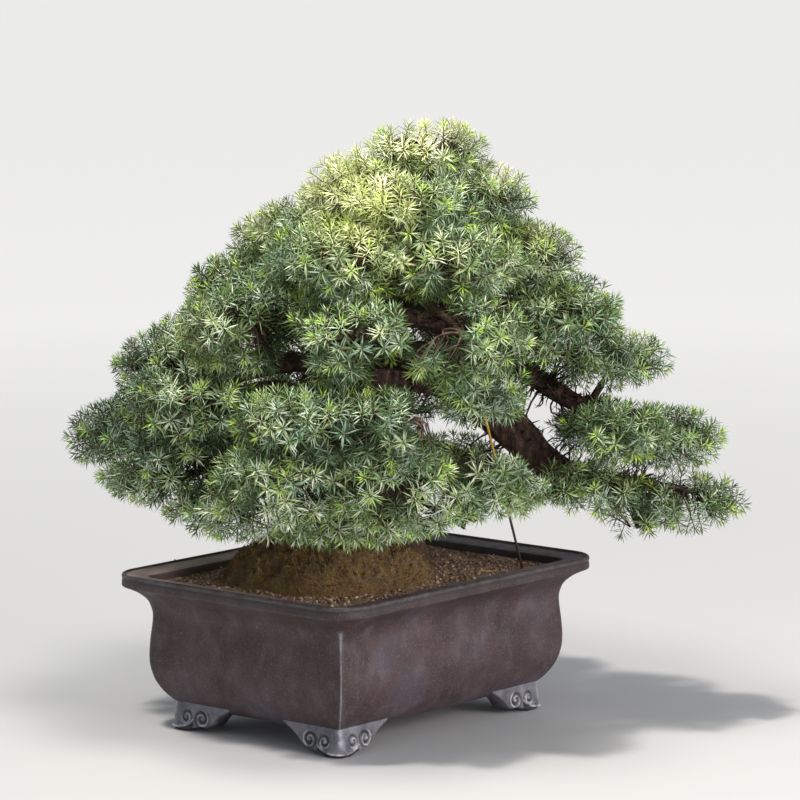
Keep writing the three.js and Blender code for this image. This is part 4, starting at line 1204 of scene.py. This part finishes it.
# %% What the corners of a needle carry
# The upper side is a kite in one row of the needle's square; each lower side has its own row
UPPER = {0: (0.04, 0.17), 1: (0.36, 0.33), 2: (0.36, 0.02), 3: (0.96, 0.17)}
LOWER_RIGHT = {0: (0.04, 0.38), 3: (0.96, 0.38), 1: (0.36, 0.62)}
LOWER_LEFT = {0: (0.04, 0.68), 2: (0.36, 0.94), 3: (0.96, 0.68)}
TEMPLATE = np.array([
    side[int(corner)]
    for side, face in zip((UPPER, UPPER, LOWER_RIGHT, LOWER_LEFT), NEEDLE_FACES) for corner in face
])
CORNER_POINT = NEEDLE_FACES.ravel()
CORNER_ALONG = np.array([0.0, WIDEST_AT, WIDEST_AT, 1.0])[CORNER_POINT]
CORNER_BLOOM = np.repeat([1.0, 1.0, 0.0, 0.0], 3)
LIGHT_FROM = unit(planted([-0.55, -0.35, 0.75]))
LIGHT_IN_LAYER = np.array([1.0, 0.38, 0.2])
# Painted sunlight on the crown, in patches: right, up, half width and strength of each patch
PAINTED_SUN_PATCHES = np.array([
    (10, 463, 46, 0.85), (68, 537, 38, 1.0), (-30, 503, 28, 0.95), (-98, 462, 28, 0.7),
    (11, 419, 34, 0.35), (128, 500, 24, 0.8), (160, 440, 22, 0.5), (-125, 332, 38, 0.3),
    (70, 402, 30, 0.2), (150, 395, 34, 0.25),
])
# Where the sprays above keep the sun off, in the same numbers
SHADE_PATCHES = np.array([(-7, 283, 50, 0.2), (-197, 270, 42, 0.14)])


def patches_at(right, up, patches):
    """The sum of round patches, each its strength * exp(-(distance / half width)^2)."""
    apart = np.hypot(right[:, None] - patches[:, 0], up[:, None] - patches[:, 1])
    return (patches[:, 3] * np.exp(-(apart / patches[:, 2]) ** 2)).sum(axis=1)


print("patches of sun", len(PAINTED_SUN_PATCHES))

# %% The needles as meshes
for name, (places, axes, points, layer) in shoots.items():
    flat_points = points.reshape(-1, 3)
    count = len(flat_points) // NEEDLE_POINTS
    faces = (NEEDLE_FACES[None] + NEEDLE_POINTS * np.arange(count)[:, None, None]).reshape(-1, 3)
    piece = add_piece("needles_" + name, flat_points, faces, needle_green, "needles",
                      ["spray_" + name], smooth=False)
    mesh = piece.data
    shade = LIGHT_IN_LAYER[layer]
    in_tree = places @ TREE_AXES.T
    right, up = in_tree[:, 0], in_tree[:, 2]
    seen_up = up + OPENING_SLOPE * in_tree[:, 1]
    # Painted light and shade on the tint: lighter low in front and at the apex, darker at the left
    # tip, on the upper right and under the shade patches
    painted_light_and_shade = 0.26 * np.clip((285 - up) / 50, 0, 1) * (right < 160)
    painted_light_and_shade += 0.15 * np.clip((up - 500) / 20, 0, 1)
    painted_light_and_shade -= 0.3 * np.clip((-170 - right) / 20, 0, 1) * np.clip((up - 238) / 12, 0, 1)
    painted_light_and_shade -= 0.06 * np.clip((right - 40) / 50, 0, 1) * np.clip((up - 370) / 40, 0, 1)
    painted_light_and_shade -= patches_at(right, seen_up, SHADE_PATCHES)
    # Painted shade: the bloom is weaker on the right side, so that side looks darker and less blue
    painted_shade_on_right = 1 - 0.3 * np.clip((right - 60) / 90, 0, 1)
    young_shoot = (draw.uniform(size=len(places)) < 0.17) & (layer == 0)
    whorl = np.arange(WHORLS)[None, :, None] / (WHORLS - 1)
    lime = np.clip((whorl - 0.45) * 2.2, 0, 1) * young_shoot[:, None, None] + np.zeros((1, 1, 3))
    # The tint is chance plus the painted light and shade above, lowered in the deeper layers as
    # painted shade
    shoot_tint_with_painted_light_and_shade = ((draw.uniform(0.1, 0.9, len(places)) + painted_light_and_shade) * shade)[:, None, None]
    tint = np.clip(shoot_tint_with_painted_light_and_shade + draw.normal(0, 0.16, (len(places), WHORLS, 3)), 0, 1)
    # The bloom is lowered in the deeper layers and on the right as painted shade
    shoot_bloom_with_painted_shade = draw.uniform(0.4, 1.0, len(places)) * shade * painted_shade_on_right
    shoot_bloom_with_painted_shade = shoot_bloom_with_painted_shade[:, None, None] + np.zeros((1, WHORLS, 3))
    corner_values = np.empty((count, CORNER_POINT.size, 4), np.float32)
    white_band = np.where(draw.uniform(size=(count, 1)) < 0.46, 1.0, 0.08)
    corner_values[:, :, 0] = CORNER_BLOOM * shoot_bloom_with_painted_shade.reshape(-1, 1) * white_band
    corner_values[:, :, 1] = tint.reshape(-1, 1)
    corner_values[:, :, 2] = lime.reshape(-1, 1) * draw.uniform(0.5, 1, (count, 1))
    corner_values[:, :, 3] = CORNER_ALONG
    colours = mesh.color_attributes.new("needle", "FLOAT_COLOR", "CORNER")
    colours.data.foreach_set("color", corner_values.ravel())
    # Painted sunlight: needles in the sun patches are coloured sunlit, the more so where their
    # shoot faces the light
    facing = np.clip(axes @ LIGHT_FROM, 0, 1)
    patch = patches_at(right, seen_up, PAINTED_SUN_PATCHES)
    painted_sun_value = (0.4 + 0.8 * facing) * np.minimum(patch, 1) + draw.normal(0, 0.1, len(places))
    painted_sun_value = np.repeat(painted_sun_value, WHORLS * 3) * (0.72 + 0.5 * white_band[:, 0])
    add_values(piece, "sun", np.repeat(np.clip(painted_sun_value, 0, 0.9), NEEDLE_POINTS))
    cells = int(np.ceil(np.sqrt(count)))
    cell = np.stack([np.arange(count) % cells, np.arange(count) // cells], axis=1)
    patches = (cell[:, None] + TEMPLATE[None]) / cells
    mesh.uv_layers.new(name="OFBake").data.foreach_set("uv", patches.astype(np.float32).ravel())
print("needles", sum(len(one[0]) * WHORLS * 3 for one in shoots.values()))

# %% [markdown]
# ## Twigs
# Every shoot has a slim green-brown stem, and a twig joins it to its spray's
# branchlets, which fan out from the end of the branch. All of them are gently
# bent rods with three or five sides, one array for each sort.

# %% Rods along many paths
def rods(paths, radii, around=3):
    """Rods along many short paths at once: a ring of points round each point of a path,
    across the path's whole direction; each end is closed by one face."""
    count, steps = paths.shape[:2]
    turns = frames_along(paths[:, -1] - paths[:, 0], np.zeros(count))
    angle = np.arange(around) * 2 * np.pi / around
    ring = np.cos(angle)[None, :, None] * turns[:, None, 0]
    ring = ring + np.sin(angle)[None, :, None] * turns[:, None, 1]
    points = paths[:, :, None] + np.asarray(radii)[None, :, None, None] * ring[:, None]
    starts_at = np.arange(count)[:, None, None] * steps * around
    quads = (grid_faces(steps, around)[None] + starts_at).reshape(-1, 4).tolist()
    caps = np.stack([np.arange(around)[::-1], np.arange(around) + (steps - 1) * around])
    return points.reshape(-1, 3), quads + (caps[None] + starts_at).reshape(-1, around).tolist()


print("rod tools ready")

# %% Branchlets, twigs and stems
BRANCHLETS = 7
rod_parts = []
wood_points = [path for path, _ in branches.values()]
wood_points += [planted(smooth_rows(rows, 120)[:, :3]) for rows in LIMBS.values()]
wood_points = np.concatenate(wood_points)
lane_angle = np.arange(BRANCHLETS) * 2 * np.pi / BRANCHLETS
lane_share = np.linspace(0, 1, 5)[None, :, None]
for name, (places, axes, _, layer) in shoots.items():
    hub = branches[name][0][-1]
    half = (spray_box[name][1] - spray_box[name][0])[:2].mean() / 2
    reach = half - 20
    outward = unit((spray_middle[name] - TRUNK_FOOT) * [1, 1, 0])
    lane_way = np.stack([np.cos(lane_angle), np.sin(lane_angle), 0 * lane_angle], axis=1)
    lane_way[:, 2] = -0.22 * (lane_way @ outward)
    spread = places - hub
    heading = np.arctan2(spread[:, 1], spread[:, 0])
    lane = (np.round(heading / (2 * np.pi) * BRANCHLETS) % BRANCHLETS).astype(int)
    along_lane = np.clip(np.hypot(spread[:, 0], spread[:, 1]) * 0.62, 0, reach)
    forks = hub + lane_way[lane] * along_lane[:, None]
    nearest = np.linalg.norm(places[:, None] - wood_points[None], axis=2).argmin(axis=1)
    on_branch = layer == INSIDE_LAYER
    forks[on_branch] = wood_points[nearest[on_branch]]
    lane_reach = np.zeros(BRANCHLETS)
    np.maximum.at(lane_reach, lane[~on_branch], along_lane[~on_branch])
    used = lane_reach > 8
    lanes = hub + (lane_way * lane_reach[:, None])[used, None] * lane_share
    lanes[:, :, 2] += 3.0 * np.sin(np.pi * lane_share[:, :, 0])
    if used.any():
        rod_parts.append(rods(lanes, [2.1, 1.8, 1.5, 1.2, 0.8], 5))
    tips = places + axes * WHORLS * WHORL_STEP
    rod_parts.append(rods(np.stack([forks, places, tips], axis=1), [0.9, 0.7, 0.3]))

# Young bark is thin and tight, brown with paler scales
twig_bark, tree, shader = new_material("twig_bark", 0.75, IOR=1.45)
twig_colour = add_node(tree, "ValToRGB", {"Fac": blots(tree, 9.0, 4.0), "stops": [
    (0.3, "201712"), (0.48, "3A2B22"), (0.6, "554234"), (0.75, "7C6650"),
]})
dress(tree, shader, twig_colour)
twig_piece = add_piece("twigs", *several(rod_parts), twig_bark, "bark", ["trunk"])
print("twigs", len(twig_piece.data.polygons), "faces")

# %% [markdown]
# ## Old wood in the shade
# Where the needles have died off, a tangle of bare twigs stays on the limbs, and
# short ones close to the bark make it shaggy.

# %% The dark tangle on the limbs
# What it stands on, from which of 60 steps to which, how many, shortest and longest in mm
TANGLE = [
    ("high_limb", 10, 36, 90, 20, 50), ("low_limb", 10, 48, 60, 18, 46),
    ("trunk", 14, 52, 60, 16, 40), ("high_limb", 6, 46, 500, 6, 18),
    ("low_limb", 8, 52, 700, 6, 20), ("trunk", 10, 54, 250, 6, 15),
]
shaggy = []
for limb, low, high, count, shortest, longest in TANGLE:
    rows = smooth_rows(ROWS_OF[limb], 60)
    place = draw.integers(low, high, count)
    aside = unit(draw.normal(0, 1, (count, 3)))
    start = planted(rows[place, :3]) + aside * 0.85 * rows[place, 3:4]
    way = unit(aside + draw.normal(0, 0.6, (count, 3)) + 0.35 * unit(planted([1.0, -0.1, 0.2])))
    long = draw.uniform(shortest, longest, (count, 1, 1))
    sideways = draw.normal(0, 0.2, (count, 1, 3)) * long * np.sin(np.pi * lane_share)
    bare = start[:, None] + way[:, None] * long * lane_share + sideways
    thick = 1.05 + 0.006 * longest
    shaggy.append(rods(bare, thick * np.array([1.0, 0.85, 0.7, 0.5, 0.25])))
tangle = add_piece("limb_tangle", *several(shaggy), bark, "bark", ["trunk"])
print("tangle", len(tangle.data.polygons), "faces")

# %% [markdown]
# ## The cane
# A thin golden cane steadies the tree. Cane has a swollen ring at every joint.

# %% The cane
STAKE_FOOT, STAKE_TOP, STAKE_RADIUS = (160, 46, 92), (112, -28, 292), 1.15
CANE_JOINTS = 5.0
cane_path = planted(np.linspace(STAKE_FOOT, STAKE_TOP, 90))
t = np.linspace(0, 1, 90)
to_joint = np.abs((t * CANE_JOINTS) % 1 - 0.5)
cane_radius = STAKE_RADIUS * (1 + 0.16 * np.exp(-((to_joint - 0.5) / 0.02) ** 2))
cane_mesh = bark_tube(cane_path, cane_radius, 14, 0.0, 3)
# Dried cane has a hard smooth skin over long fibres: golden and satin. From about
# 0.19 to 0.235 m above the floor downwards it turns dark brown
cane_skin, tree, shader = new_material("dried_cane", 0.42, IOR=1.5)
cane_colour = add_node(tree, "ValToRGB", {"Fac": blots(tree, 6.0, 4.0, (1, 1, 0.2)), "stops": [
    (0.3, "A8792C"), (0.5, "CFA043"), (0.7, "E3C06A"),
]})
place = add_node(tree, "TexCoord", {}, "Object")
height = add_node(tree, "SeparateXYZ", {"Vector": place}, "Z")
# Dark brown from about 0.19 to 0.235 m above the floor downwards
darker_below = add_node(tree, "ValToRGB", {
    "Fac": height,
    "stops": [(0.19, "FFFFFF"), (0.235, "000000")]})
cane_colour = coats(tree, cane_colour, [(darker_below, "3D3226")])
dress(tree, shader, cane_colour, (blots(tree, 0.8, 3.0, (1, 1, 0.1)), 0.1, 0.5))
cane = add_piece("cane", *cane_mesh, cane_skin, "cane", ["cane_stake"])
print("cane", len(cane.data.polygons), "faces")

# %% [markdown]
# ## What the pot hides
# The grit, the two drainage screens and the anchor wire keep their modelled
# shape, which is right already. They only need their finish.

# %% Finishes for the hidden pieces
# Moulded polypropylene: dark, smooth and half matt
screen_net, tree, shader = new_material("moulded_polypropylene", 0.5, IOR=1.49)
screen_colour = add_node(tree, "ValToRGB", {
    "Fac": blots(tree, 4.0),
    "stops": [(0.4, "23262A"), (0.6, "31353A")]})
dress(tree, shader, screen_colour)
# Annealed aluminium wire, drawn and soft: a dull grey metal
wire_metal, tree, shader = new_material("annealed_aluminium", 0.38, Metallic=1.0)
wire_colour = add_node(tree, "ValToRGB", {
    "Fac": blots(tree, 3.0),
    "stops": [(0.4, "828588"), (0.6, "96999C")]})
dress(tree, shader, wire_colour)
for node, finish in {
    "drainage_grit": grit_clay, "drainage_screen_1": screen_net,
    "drainage_screen_2": screen_net, "anchor_wire": wire_metal,
}.items():
    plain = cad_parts[node].data.materials
    plain.clear()
    plain.append(finish)
print("hidden pieces finished")

# %% [markdown]
# ## Floor and light
# A pale floor as wide as the view and a bright even sky give the soft light of
# a yard. A high, softened sun from the left lights the crown, as in the
# photograph, and a broad lamp from the right lifts the pot's long side.

# %% The floor
FLOOR_RADIUS, FLOOR_SIDES, FLOOR_DROP, FLOOR_FADE = 24.0, 96, 0.0005, 3.0
# Pale matt paper has no shine. Its colour is painted darker towards the pot, as painted shade that
# evens out the lamps' brighter light there
paper, tree, shader = new_material("pale_matt_floor", 0.9)
where = add_node(tree, "TexCoord", {}, "Object")
from_pot = add_node(tree, "VectorMath", {"operation": "LENGTH", 0: where}, "Value")
far_share = add_node(tree, "Math", {"operation": "DIVIDE", 0: from_pot, 1: FLOOR_FADE})
# Painted shade: darker near the pot and lighter towards the edge, which evens out the lamps' light
floor_colour = add_node(tree, "ValToRGB", {
    "Fac": far_share,
    "stops": [(0.1, "B8BABD"), (1.0, "DEE0E3")]})
dress(tree, shader, floor_colour)
turns = np.linspace(0, 2 * np.pi, FLOOR_SIDES, endpoint=False)
disc = np.stack([np.cos(turns), np.sin(turns), 0 * turns], axis=1) * FLOOR_RADIUS
floor_mesh = bpy.data.meshes.new("floor")
floor_mesh.from_pydata((disc - [0, 0, FLOOR_DROP]).tolist(), [], [list(range(FLOOR_SIDES))])
floor_mesh.materials.append(paper)
floor = bpy.data.objects.new("floor", floor_mesh)
bpy.context.scene.collection.objects.link(floor)
print("floor", 2 * FLOOR_RADIUS, "m wide")

# %% Sun, lamps and sky
TREE_MIDDLE = 0.3


def add_light(kind, name, offset, power, spread, colour):
    """A light at an offset (right, away, up) in metres that looks at the tree's middle; spread
    is the side of a square lamp in metres, or how many degrees wide a sun looks."""
    light = bpy.data.lights.new(name, kind)
    light.energy, light.color = power, linear(colour)[:3]
    if kind == "SUN":
        light.angle = np.radians(spread)
    else:
        light.size = spread
    back = unit(planted(offset))
    right = unit(np.cross([0, 0, 1], back))
    stand(bpy.data.objects.new(name, light), right, back, planted(offset) + [0, 0, TREE_MIDDLE])


add_light("SUN", "high_sun", (-0.26, -0.16, 1.0), 2.4, 4, "FFF8EE")
add_light("AREA", "over_the_crown", (-0.04, -0.22, 0.7), 5.4, 0.25, "FFF9E8")
add_light("AREA", "fill", (1.9, -1.7, 0.5), 60, 1.6, "FFF6F2")
world = bpy.data.worlds.new("sky")
bpy.context.scene.world = world
world.use_nodes = True
sky = world.node_tree.nodes["Background"].inputs
sky["Color"].default_value = linear("F0F4F8")
sky["Strength"].default_value = 0.5
bpy.context.scene.view_settings.view_transform = "Standard"
print("lit")
